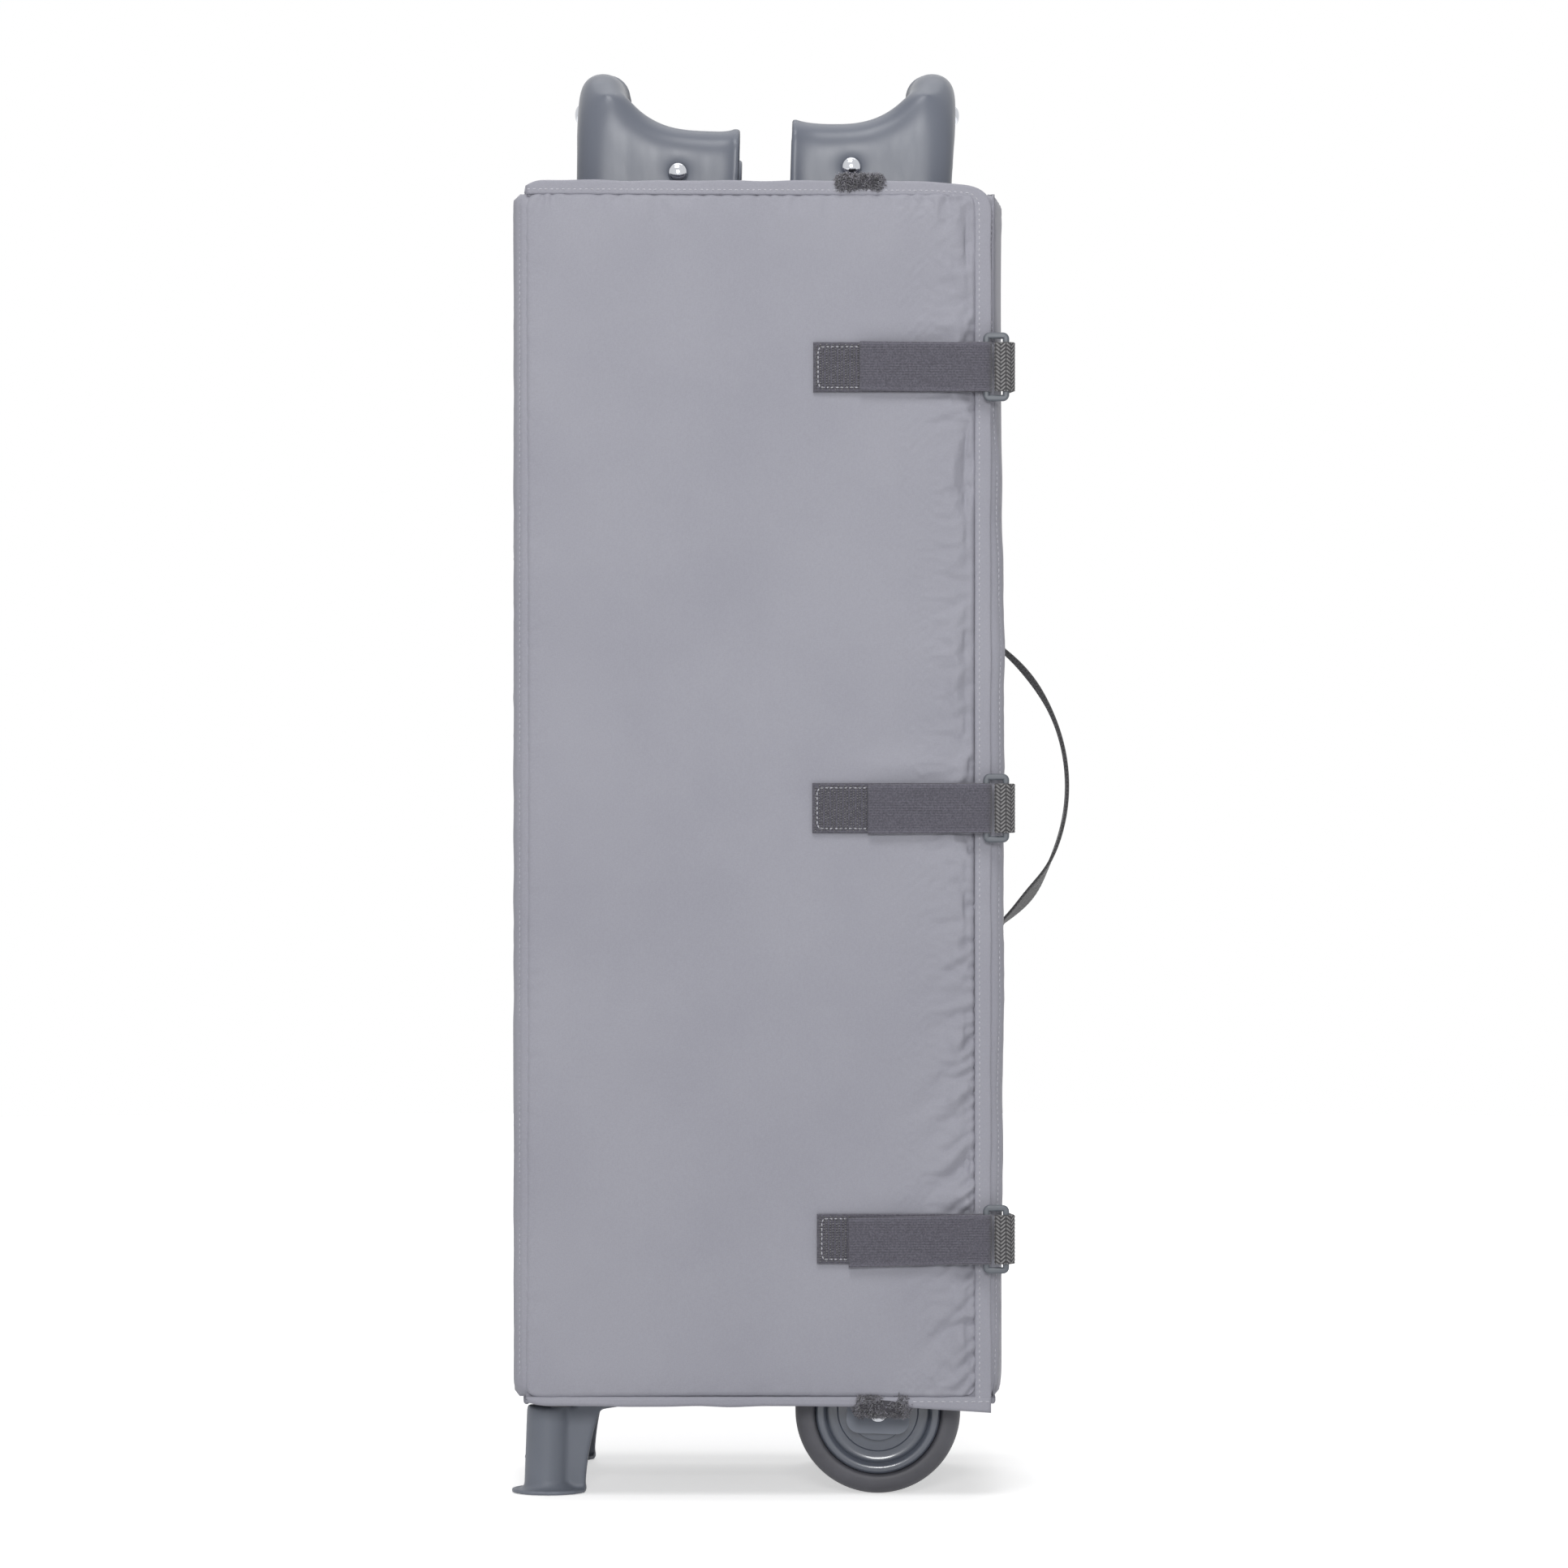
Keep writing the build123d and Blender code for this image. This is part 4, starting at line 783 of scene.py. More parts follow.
def settle(points, held):
    """Lets a sheet of cloth settle as a simulation; held gives how firmly each point stays put."""
    rows, columns = points.shape[:2]
    mesh = bpy.data.meshes.new("settling")
    mesh.from_pydata([tuple(p) for p in points.reshape(-1, 3)], [], grid_faces(rows, columns))
    sheet = bpy.data.objects.new("settling", mesh)
    bpy.context.scene.collection.objects.link(sheet)
    group = sheet.vertex_groups.new(name="held")
    for index, weight in enumerate(held.ravel()):
        group.add([index], float(weight), "REPLACE")
    cloth = sheet.modifiers.new("cloth", "CLOTH")
    cloth.settings.quality = 5
    cloth.settings.mass = 0.15
    cloth.settings.tension_stiffness = 12
    cloth.settings.compression_stiffness = 12
    cloth.settings.shear_stiffness = 4
    cloth.settings.bending_stiffness = 0.4
    cloth.settings.shrink_min = -CLOTH_EASE
    cloth.settings.use_pressure = True
    cloth.settings.uniform_pressure_force = CLOTH_PRESSURE
    cloth.settings.vertex_group_mass = "held"
    cloth.settings.pin_stiffness = 1.0
    cloth.settings.effector_weights.gravity = 0
    cloth.collision_settings.use_collision = False
    cloth.point_cache.frame_start = 1
    cloth.point_cache.frame_end = CLOTH_FRAMES
    for number in range(1, CLOTH_FRAMES + 1):
        bpy.context.scene.frame_set(number)
    seen = sheet.evaluated_get(bpy.context.evaluated_depsgraph_get()).to_mesh()
    settled = np.array([v.co for v in seen.vertices]).reshape(points.shape)
    bpy.context.scene.frame_set(1)
    bpy.data.objects.remove(sheet)
    move = settled - points
    size = np.linalg.norm(move, axis=-1, keepdims=True)
    return points + move * np.minimum(1, CLOTH_LIMIT / np.maximum(size, 1e-9))


def places(low, high, step, fine_low=0.0, fine_high=0.0):
    """Places from low to high a step apart, and closer together near the ends."""
    runs = [(low, low + fine_low, FINE_STEP), (low + fine_low, high - fine_high, step)]
    runs.append((high - fine_high, high, FINE_STEP))
    lines = [np.linspace(a, b, round((b - a) / size) + 1)[:-1] for a, b, size in runs if b - a > size]
    return np.append(np.concatenate(lines), high)


def between(grid, upward, across, new_upward, new_across):
    """A grid of vectors read at other places, linearly both ways."""
    tall = [[np.interp(new_upward, upward, line) for line in column] for column in grid.transpose(1, 2, 0)]
    wide = [[np.interp(new_across, across, line) for line in row] for row in np.transpose(tall, (2, 1, 0))]
    return np.transpose(wide, (0, 2, 1))


def pad_cloth(panel, across, upward):
    """The pad's outer cloth before it settles, with its sides and corners drawn in."""
    u, z = np.meshgrid(across, upward)
    height = pad_height(panel, u, z)
    if panel.closing:
        height = strap_dents(height, u, z)
    if panel.name == "right":
        height -= corner_inset(z) * np.clip((u - panel.pad_end + 90 * MM) / (90 * MM), 0, 1) ** 2
    middle, half = (panel.start + panel.pad_end) / 2, (panel.pad_end - panel.start) / 2
    centre, tall = (PAD_BOTTOM + PAD_TOP) / 2, (PAD_TOP - PAD_BOTTOM) / 2
    s, t = (u - middle) / half, (z - centre) / tall
    near_u = np.clip(1 - (half - np.abs(u - middle)) / PAD_CORNER, 0, 1)
    near_z = np.clip(1 - (tall - np.abs(z - centre)) / PAD_CORNER, 0, 1)
    u = u - DRAW_IN * s**3 * (1 - t**2) - np.sign(s) * 0.29 * PAD_CORNER * near_u * near_z**2
    z = z - DRAW_IN * t**3 * (1 - s**2) - np.sign(t) * 0.29 * PAD_CORNER * near_z * near_u**2
    return panel.point(u, z, height)


def settled_move(panel):
    """How the front pad's cloth moves as it settles, on a coarse grid of places."""
    across, upward = places(panel.start, panel.pad_end, PAD_STEP), places(PAD_BOTTOM, PAD_TOP, PAD_STEP)
    u, z = np.meshgrid(across, upward)
    edge = np.minimum.reduce([u - panel.start, panel.pad_end - u, z - PAD_BOTTOM, PAD_TOP - z])
    firm = np.clip((panel.pad_end - u - LOOSE_SIDE) / LOOSE_FADE, 0, 1)
    cloth = pad_cloth(panel, across, upward)
    return settle(cloth, np.where(edge < 1e-6, 1.0, 0.05 + 0.95 * firm)) - cloth, upward, across


def pad(panel):
    """A padded panel: its outer cloth, its drawn-in edges and its flat back."""
    across = places(panel.start, panel.pad_end, PAD_BACK_STEP)
    upward = places(PAD_BOTTOM, PAD_TOP, PAD_BACK_STEP)
    if panel.closing:
        across = places(panel.start, panel.pad_end, PAD_STEP, FINE_END, FINE_SIDE)
        upward = places(PAD_BOTTOM, PAD_TOP, PAD_ROW, FINE_END, FINE_END)
    outer = pad_cloth(panel, across, upward)
    if panel.closing:
        outer = outer + between(*settled_move(panel), upward, across)
    outer = outer + gathers(panel, *np.meshgrid(across, upward))[..., None] * panel.out
    columns, rows = len(across), len(upward)
    index = np.arange(rows * columns).reshape(rows, columns)
    loop = np.concatenate([index[0, :-1], index[:-1, -1], index[-1, :0:-1], index[:0:-1, 0]])
    parts = [outer.reshape(-1, 3)]
    edge_u, edge_z = parts[0][loop] @ panel.across, parts[0][loop][:, 2]
    middle, half = (panel.start + panel.pad_end) / 2, (panel.pad_end - panel.start) / 2
    inset = 1 - (PAD_THICK - PAD_EDGE) / half
    for depth, scale in ((PAD_EDGE, 1.0), (PAD_THICK - 1 * MM, inset), (PAD_THICK, inset - 2 * MM / half)):
        parts.append(panel.point(middle + (edge_u - middle) * scale, edge_z, -depth * np.ones(len(loop))))
    faces = grid_faces(rows, columns)
    size, previous = len(loop), list(loop)
    for ring in range(3):
        current = [rows * columns + ring * size + k for k in range(size)]
        following = current[1:] + current[:1], previous[1:] + previous[:1]
        faces += list(zip(previous, current, *following))
        previous = current
    faces.append(tuple(previous[::-1]))
    vertices = np.concatenate(parts)
    made = new_object(f"pad_{panel.name}", vertices, faces, FABRIC_LOOK, "wrap")
    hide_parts(f"mattress_panel_{panel.name}")


def hem_lines(panel, where):
    """A hem's seam and its free edge, as matching points (u, z); the closing side goes with the top."""
    side, free = panel.pad_end, panel.end - CLOSING_EDGE
    start, end = panel.start, free
    if not panel.closing:
        start, end = start + SIDE_HEM_START, panel.end - SIDE_HEM_START
    if where == "bottom":
        sag = LOWER_HEM_SAG if panel.closing else 0
        level, fall = BOTTOM, end - 50 * MM
        seam = [(u, PAD_BOTTOM) for u in (start + 1 * MM, start + 8 * MM, fall, end)]
        edge = [(start + 1 * MM, PAD_BOTTOM - 2 * MM), (start + 8 * MM, level)]
        edge += [(fall, level), (end, level - sag)]
        return seam, edge
    seam = [(start + 1 * MM, PAD_TOP), (start + 4 * MM, PAD_TOP)]
    edge = [(start + 0.4 * MM, PAD_TOP + 3 * MM), (start + 4 * MM, TOP)]
    if panel.closing:
        seam += [(side - CORNER_FALL, PAD_TOP - 0.8 * MM), (side - 3 * MM, PAD_TOP - 2 * MM)]
        edge += [(side - CORNER_FALL, TOP - 0.6 * MM), (free - 7 * MM, TOP - 3.5 * MM)]
        seam += [(side, PAD_TOP - 6 * MM), (side, PAD_BOTTOM - 1 * MM)]
        edge += [(free, TOP - 9 * MM), (free, PAD_BOTTOM - 1 * MM)]
    else:
        run, drop = (CLOSING_RUN, CLOSING_DROP) if panel.name == "right" else (4 * MM, 0)
        seam += [(end - run, PAD_TOP), (end - 1 * MM, PAD_TOP - drop)]
        edge += [(end - run, TOP), (end - 0.4 * MM, PAD_TOP + 3 * MM - drop)]
    return seam, edge


def hem_path(panel, where, step=HEM_STEP):
    """The seam and edge points of a hem in space, evenly spaced and a little wavy."""
    seam, edge = hem_lines(panel, where)
    line = resample([(*a, *b) for a, b in zip(seam, edge)], step, 4)
    wave = smooth_noise(np.arange(len(line)) * step / (26 * MM), panel.seed + len(where)) * HEM_WAVE
    depth = HEM_DEPTH + (0 if panel.closing else HEM_LEAN)
    inner = panel.point(line[:, 0], line[:, 1], -depth)
    outer = panel.point(line[:, 2] + 0.7 * wave, line[:, 3] + wave, -depth + 0.8 * wave)
    return inner, outer


def hem(panel):
    """The sewn flange round a panel: a flat strip along the top and any closing side, a rolled one below,
    each over a tape that closes the seam behind."""
    parts = []
    for where, thick in (("top", HEM_THICK), ("bottom", LOWER_HEM_THICK)):
        inner, outer = hem_path(panel, where)
        across = unit(outer - inner)
        inner = inner - across * HEM_LAP
        wide = np.linalg.norm(outer - inner, axis=1)
        parts.append(band((inner + outer) / 2, across, wide, thick, 7)[:2])
        behind = panel.out * (thick + TAPE_THICK) / 2
        first, last = inner - across * TAPE_LAP - behind, outer - across * wide[:, None] * 0.25 - behind
        wide = np.linalg.norm(last - first, axis=1)
        parts.append(band((first + last) / 2, across, wide, TAPE_THICK, 5)[:2])
    vertices, faces = joined(parts)
    new_object(f"hem_{panel.name}", vertices, faces, FABRIC_LOOK, "wrap")


def hem_stitches(panel, random):
    """Stitches along the upper hem, and loose ones at the end of the front panel's lower hem."""
    inner, outer = hem_path(panel, "top", STITCH_PITCH / 3)
    across = unit(outer - inner)
    stitches = stitch_row(inner + across * STITCH_INSET + panel.out * HEM_THICK / 2, panel.out, random)
    if panel.closing:
        inner, outer = hem_path(panel, "bottom", STITCH_PITCH / 3)
        inner, outer = inner[-LOOSE_STITCHES:], outer[-LOOSE_STITCHES:]
        line = inner + unit(outer - inner) * STITCH_INSET + panel.out * LOWER_HEM_THICK / 2
        stitches += stitch_row(line, panel.out, random, STITCH_PITCH * 1.2, STITCH_LENGTH * 1.4)
    return stitches


def fold_bands(random):
    """The sewn edges between neighbouring panels, each with its row of stitches."""
    corners = {
        "front_left": (LEFT, FRONT, (-1, 0, 0), (0, -1, 0), 2 * MM, 0.95, even(0)),
        "rear_left": (LEFT, REAR, (-1, 0, 0), (0, 1, 0), 2 * MM, 0.95, even(0)),
        "rear_right": (RIGHT, REAR, (1, 0, 0), (0, 1, 0), 2 * MM, 0.95, even(0)),
        "front_right": (RIGHT, FRONT, (1, 0, 0), (0, -1, 0), 4 * MM, 0.75, corner_inset),
    }
    stitches = []
    for name, (x, y, first, second, back, turn, inset) in corners.items():
        first, second = np.array(first, float), np.array(second, float)
        centre = np.array((x, y, 0)) - first * (FOLD_RADIUS + 0.5 * MM) - second * (FOLD_RADIUS + back)
        heights = np.linspace(PAD_BOTTOM + 2 * MM, PAD_TOP - 1.5 * MM, FOLD_ROWS)
        low_end = np.clip((heights - heights[0]) / (8 * MM), 0, 1)
        high_end = np.clip((heights[-1] - heights) / (4 * MM), 0, 1)
        ends = ((low_end, 0.45), (high_end, 0.35))
        pull = 1 - sum(most * (1 - np.sqrt(1 - (1 - end) ** 2)) for end, most in ends)
        wave = 1 + FOLD_WAVE * smooth_noise(heights / FOLD_WAVE_LENGTH, len(name))
        turns = np.linspace(-0.1, pi / 2 + 0.1, 17)
        rows = []
        for z, scale in zip(heights, pull * wave):
            reach = FOLD_RADIUS * scale * (1 - FOLD_SEAM * bell(turns, turn, 0.1))
            outer = [(cos(t) * first + sin(t) * second) * r for t, r in zip(turns, reach)]
            inner = [v * (1 - FOLD_THICK / FOLD_RADIUS) for v in outer[::-1]]
            rows.append(centre - first * inset(z) + np.array(outer + inner) + np.array((0, 0, z)))
        faces = tube_faces(len(rows), len(rows[0]))
        new_object(f"fold_{name}", np.concatenate(rows), faces, FABRIC_LOOK, "wrap")
        out = cos(turn) * first + sin(turn) * second
        sewn = np.arange(PAD_BOTTOM + 12 * MM, PAD_TOP - 8 * MM, STITCH_PITCH / 2)
        line = [centre - first * inset(z) + out * FOLD_RADIUS * 0.965 + np.array((0, 0, z)) for z in sewn]
        stitches += stitch_row(line, out, random, radius=STITCH_RADIUS * 0.6)
    return stitches


# Straps


def hooks(place, begin, end, face, random):
    """The hook patch on a strap's sewn end: rows of small bent hooks."""
    parts = []
    at, half = STRAP_HEIGHTS[place], STRAP_WIDTH / 2
    columns = np.arange(begin + HOOK_MARGIN, end, HOOK_PITCH)
    rows = np.arange(at - half + HOOK_MARGIN, at + half - HOOK_MARGIN / 2, HOOK_PITCH * 0.8)
    for c, x in enumerate(columns):
        for z in rows:
            slant = HOOK_PITCH * 0.4 * (1 if c % 2 else -1)
            foot = np.array((x, face, z)) + random.normal(0, 0.06, 3) * MM
            tip = foot + np.array((0.35 * slant, -HOOK_HEIGHT * 0.55, slant))
            bend = (foot + tip) / 2 + np.array((0, -HOOK_HEIGHT * 0.5, 0))
            points = resample([foot, bend, tip], HOOK_HEIGHT / 2, 1)
            parts.append(band(points, (1, 0.2, 0.1), HOOK_RADIUS * 2.6, HOOK_RADIUS, 2)[:2])
    return parts


def strap(place, random):
    """One cinch strap: its sewn base with a hook patch, and the flap that folds back round the ring."""
    low, high = STRAPS[place]
    flap_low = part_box(f"strap_{place}_flap")[0]
    at = STRAP_HEIGHTS[place]
    base_line, return_line = high.y - STRAP_THICK / 2, low.y + STRAP_THICK / 2
    flap_line = base_line - STRAP_THICK - CLOTH_GAP
    bar = high.x - STRAP_FOLD - STRAP_THICK / 2
    hinge = bar - STRAP_RETURN
    up = (0, 0, 1)

    base = resample([(low.x, base_line, at), (bar, base_line, at)], 2.5 * MM)
    vertices, faces, _ = band(base, up, STRAP_WIDTH, STRAP_THICK, 9)
    made = new_object(f"strap_{place}_sewn", vertices, faces, LOOP_LOOK, "wrap")
    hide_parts(f"strap_{place}_base")
    patch = hooks(place, low.x, flap_low.x + 2 * MM, base_line - STRAP_THICK / 2, random)
    vertices, faces = joined(patch)
    tufts = new_object(f"strap_{place}_hooks", vertices, faces, TAB_LOOK, "wrap")
    # The hooks' heights colour them: painted shade at their feet, painted highlight at their tips
    relief = -(vertices[:, 1] - (base_line - STRAP_THICK / 2)) / HOOK_HEIGHT
    keep_relief(tufts, relief)

    turn = [
        (bar + STRAP_FOLD * sin(a), (base_line + return_line) / 2 + STRAP_FOLD * cos(a))
        for a in np.linspace(0, pi, 13)
    ]
    line = [(bar - 1 * MM, base_line), *turn, (hinge, return_line), (hinge - STRAP_RAMP, flap_line)]
    line += [(flap_low.x + 12 * MM, flap_line), (flap_low.x, flap_line - 0.15 * MM)]
    tilt = FLAP_TILT[place]
    points = resample([(x, y, at) for x, y in line], 1.6 * MM, 2)
    share = np.clip((hinge - points[:, 0]) / (hinge - flap_low.x), 0, 1)
    points[:, 2] -= tilt * share
    vertices, faces, lift = band(points, up, STRAP_WIDTH - 0.3 * MM, STRAP_THICK, 27, selvedge_and_highlight)
    flap = new_object(f"strap_{place}_flap_cloth", vertices, faces, LOOP_LOOK)
    # The edge heights are kept for the painted highlight along the flap's edges
    keep_relief(flap, lift / SELVEDGE)
    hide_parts(f"strap_{place}_flap")
    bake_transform(flap)

    face = base_line - STRAP_THICK / 2 - 0.15 * MM
    left, right = low.x + 2.6 * MM, flap_low.x - 0.5 * MM
    tall = STRAP_WIDTH / 2 - 2.6 * MM
    corners = ((right, tall), (left, tall), (left, -tall), (right, -tall))
    outline = [(x, face, at + z) for x, z in corners]
    return stitch_row(outline, (0, -1, 0), random, BOX_PITCH, BOX_LENGTH)


def selvedge_and_highlight(along, across):
    """A woven edge along both sides of a strap; its height also lightens the strap there as a painted
    highlight.
    """
    return SELVEDGE * bell(np.abs(across), STRAP_WIDTH * 0.45, 0.5 * MM)


def tab_relief(along, across):
    """Herringbone: slanting ridges that change their way from one column to the next."""
    column = int(along / TAB_COLUMN)
    slope = 1 if column % 2 else -1
    inside = along - column * TAB_COLUMN
    phase = (across + slope * inside * 0.9) / TAB_PITCH
    ridge = 0.5 + 0.5 * np.cos(tau * phase)
    groove = 1 - bell(min(inside, TAB_COLUMN - inside), 0, 0.3 * MM) * 0.7
    return TAB_RELIEF * ridge * groove


def ring_tab(place, random):
    """The webbing tab that holds a ring: round the ring's bar and sewn down on the right panel."""
    at = STRAP_HEIGHTS[place]
    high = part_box("ring_tabs")[1]
    ring_low, ring_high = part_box("strap_rings")
    ring_line = (ring_low.y + ring_high.y) / 2
    fold, thick = STRAP_FOLD, STRAP_THICK
    bar = ring_high.x - RING_WIRE / 2
    panel_line = RIGHT + CLOTH_GAP + thick / 2
    turn = [(bar + fold * cos(a), ring_line - fold * sin(a)) for a in np.linspace(0, pi, 13)]
    line = [(panel_line, high.y), (panel_line, ring_line + TAB_RISE)]
    line += [(bar + fold + TAB_LEAN, ring_line), *turn[1:7]]
    line.append((bar - TAB_LIP, ring_line - fold + 0.4 * MM))
    points = resample([(x, y, at) for x, y in line], 0.6 * MM, 1)
    vertices, faces, lift = band(points, (0, 0, 1), STRAP_WIDTH - 0.5 * MM, thick * 0.75, 64, tab_relief)
    made = new_object(f"tab_{place}", vertices, faces, TAB_LOOK, "wrap")
    # The herringbone heights colour the tab: painted shade in its grooves, painted highlight on its ridges
    keep_relief(made, lift / TAB_RELIEF)
    face = panel_line + thick / 2 + 0.1 * MM
    tall = STRAP_WIDTH / 2 - 4 * MM
    ends = (high.y - 4 * MM, high.y - 24 * MM)
    box = [(face, ends[a], at + b * tall) for a, b in BOX_CORNERS]
    return made, stitch_row(box, (1, 0, 0), random, BOX_PITCH, BOX_LENGTH)


# Carry handle


def handle_relief(along, across):
    """Plain-woven webbing: ribs along it, with threads that cross every other one."""
    ribs = 0.5 + 0.5 * np.cos(tau * across / HANDLE_RIB)
    beat = 0.5 + 0.5 * np.cos(tau * (along / HANDLE_BEAT + np.round(across / HANDLE_RIB) / 2))
    return HANDLE_RELIEF * ribs * (0.45 + 0.55 * beat)


def handle(random):
    """The webbing handle, sewn at both ends; it twists where it leaves the panel below."""
    low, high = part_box("handle_ends")
    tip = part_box("handle_loop")[1].x - HANDLE_THICK / 2
    line = RIGHT + CLOTH_GAP + HANDLE_THICK / 2
    middle = (low.z + high.z) / 2
    y = (low.y + high.y) / 2
    span = (high.z - low.z) / 2 - HANDLE_SEWN
    reach = tip - line
    arc = (span**2 + reach**2) / (2 * reach)
    opening = np.arcsin(span / arc)
    loop = [
        (tip - arc + arc * cos(a), y, middle + arc * sin(a))
        for a in np.linspace(opening, -opening, 41)
    ]
    upper, lower = (line, y, middle + span + 2 * MM), (line, y, middle - span - 2 * MM)
    points = resample([(line, y, high.z), upper, *loop, lower, (line, y, low.z)], 0.9 * MM, 3)
    share = (high.z - points[:, 2]) / (high.z - low.z)
    twist = radians(16) * bell(share, 0.8, 0.07) - radians(5) * bell(share, 0.2, 0.08)
    tangents = unit(np.gradient(points, axis=0))
    flat = np.array((0, 1.0, 0))
    normals = np.cross(tangents, flat)
    sides = np.cos(twist)[:, None] * flat + np.sin(twist)[:, None] * normals
    vertices, faces, lift = band(points, sides, HANDLE_WIDTH, HANDLE_THICK * 0.8, 27, handle_relief)
    made = new_object("carry_handle", vertices, faces, HANDLE_LOOK)
    # The rib heights colour the handle: painted shade between the ribs, painted highlight on them
    keep_relief(made, lift / HANDLE_RELIEF)
    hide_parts("handle_loop", "handle_ends")
    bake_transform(made)
    stitches = []
    for way in (1, -1):
        ends = (middle + way * (span + 4 * MM), middle + way * (span + HANDLE_SEWN - 4 * MM))
        face = line + HANDLE_THICK / 2 + 0.1 * MM
        half = HANDLE_WIDTH / 2 - 3 * MM
        box = [(face, y + b * half, ends[a]) for a, b in BOX_CORNERS]
        stitches += stitch_row(box, (1, 0, 0), random, BOX_PITCH, BOX_LENGTH)
    return stitches


# Loop-pile tabs


def soft_box(cells, roundness):
    """Points over a cube with softened edges, as a grid on each of its six faces."""
    line = np.linspace(-1, 1, cells)
    a, b = np.meshgrid(line, line)
    parts = []
    for axis in range(3):
        for way in (1, -1):
            cube = np.stack(np.broadcast_arrays(way * 1.0, a, b * way), axis=-1)
            cube = np.roll(cube, axis, axis=-1).reshape(-1, 3)
            ball = cube / np.linalg.norm(cube, axis=1, keepdims=True)
            parts.append((cube * (1 - roundness) + ball * roundness, grid_faces(cells, cells)))
    return joined(parts)


def fibre(root, way, size, random):
    """One curled fibre: three rings of three points, thin at its tip."""
    corner = np.array((0, tau / 3, 2 * tau / 3))
    tip = root + unit(way + random.normal(0, 0.45, 3)) * size
    spine = (root - way * 0.3 * MM, root + way * size * 0.55, tip)
    side = unit(np.cross(way, (0.31, 0.57, 0.76)))
    ring = np.outer(np.cos(corner), side) + np.outer(np.sin(corner), np.cross(way, side))
    rows = [place + PILE_RADIUS * wide * ring for place, wide in zip(spine, (1.0, 0.9, 0.25))]
    return np.concatenate(rows), tube_faces(3, 3)


def pile_tabs(random):
    """Fuzzy tabs folded over the hems: a soft core covered with tufts of short fibres, light and dark."""
    tabs = sorted(islands("loop_pile_tabs"), key=lambda points: -points[:, 2].mean())
    for points, name in zip(tabs, ("top", "bottom")):
        low, high = points.min(0), points.max(0)
        middle, half = (low + high) / 2, (high - low) / 2 - PILE_LENGTH * np.array((0.4, 0.1, 0.5))
        shape, faces = soft_box(16, 0.45)
        parts = [(middle + half * shape, faces)]
        # The core under the fibres takes the darkest value: painted shade
        tone_and_root_shade = [np.zeros(len(shape))]
        for spot in shape[random.integers(0, len(shape), PILE_TUFTS)]:
            way, tone = unit(spot**3 + random.normal(0, 0.35, 3)), random.uniform(0.05, 1.0)
            size = PILE_LENGTH * random.uniform(0.3, 1.0)
            for offset in random.normal(0, TUFT_WIDTH, (TUFT_FIBRES, 3)):
                root = middle + half * spot + offset - way * (offset @ way)
                lean = unit(way + offset * 0.5 / TUFT_WIDTH)
                parts.append(fibre(root, lean, size * random.uniform(0.6, 1), random))
                # Each fibre darkens towards its root as painted shade; its tuft's tone is random
                tone_and_root_shade.append(np.repeat((0.0, 0.5, 1.0), 3) * tone)
        vertices, faces = joined(parts)
        made = new_object(f"pile_tab_{name}", vertices, faces, PILE_LOOK, "wrap")
        keep_relief(made, np.concatenate(tone_and_root_shade))
        if name == "top":
            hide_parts("loop_pile_tabs")


# Moulded plastic with eased edges


def neighbours(mesh):
    """Each vertex's neighbours, in rows filled up with the vertex itself."""
    pairs = np.array([edge.vertices[:] for edge in mesh.edges])
    pairs = np.concatenate([pairs, pairs[:, ::-1]])
    pairs = pairs[np.argsort(pairs[:, 0], kind="stable")]
    count = np.bincount(pairs[:, 0], minlength=len(mesh.vertices))
    place = np.arange(len(pairs)) - np.repeat(np.cumsum(count) - count, count)
    table = np.repeat(np.arange(len(count))[:, None], count.max(), axis=1)
    table[pairs[:, 0], place] = pairs[:, 1]
    return table


def eased(values, table, share, passes):
    """Values drawn towards their neighbours' mean again and again, by a share of the way."""
    moving = np.flatnonzero(share)
    values, share, table = values.copy(), share[moving, None], table[moving]
    for _ in range(passes):
        values[moving] += share * (values[table].mean(axis=1) - values[moving])
    return values


def softened(node, look, passes, melting=None, melt_passes=0):
    """A fine copy of a CAD moulding with its edges eased. Where melting allows it, its forms run into each
    other, and are then pushed out again to their old reach."""
    source = frame["nodes"][node]
    piece = bpy.data.objects.new(f"{node}_moulding", source.data.copy())
    bpy.context.scene.collection.objects.link(piece)
    remesh = piece.modifiers.new("fine", "REMESH")
    remesh.mode = "VOXEL"
    remesh.voxel_size = SOFT_VOXEL
    remesh.use_smooth_shade = True
    seen = bpy.data.meshes.new_from_object(piece.evaluated_get(bpy.context.evaluated_depsgraph_get()))
    bpy.data.objects.remove(piece)
    piece = bpy.data.objects.new(f"{node}_moulding", seen)
    bpy.context.scene.collection.objects.link(piece)
    table = neighbours(seen)
    points = eased(np.array([v.co for v in seen.vertices]), table, np.full(len(table), 0.5), passes)
    if melting:
        share = MELT_SHARE * melting(points)
        soft = eased(points, table, share, melt_passes)
        points = soft + eased(points - soft, table, share, melt_passes // 2)
    seen.vertices.foreach_set("co", points.ravel())
    seen.update()
    seen.materials.clear()
    seen.materials.append(look)
    seen.polygons.foreach_set("use_smooth", [True] * len(seen.polygons))
    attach(piece, "frame")
    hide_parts(node)


def bracket_melting(corner):
    """How far a bracket's forms melt at each point: not at its two mouths, nor down in the wrap."""
    low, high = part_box(f"top_bracket_{corner}")
    mouth_x = high.x if corner.endswith("left") else low.x
    mouth_y = high.y if corner.startswith("front") else low.y

    def melting(points):
        away = np.minimum(np.abs(points[:, 0] - mouth_x), np.abs(points[:, 1] - mouth_y))
        above = np.clip((points[:, 2] - TOP + SOCKET_FADE) / SOCKET_FADE, 0, 1)
        return np.clip((away - MOUTH_KEEP) / MOUTH_FADE, 0, 1) * above

    return melting


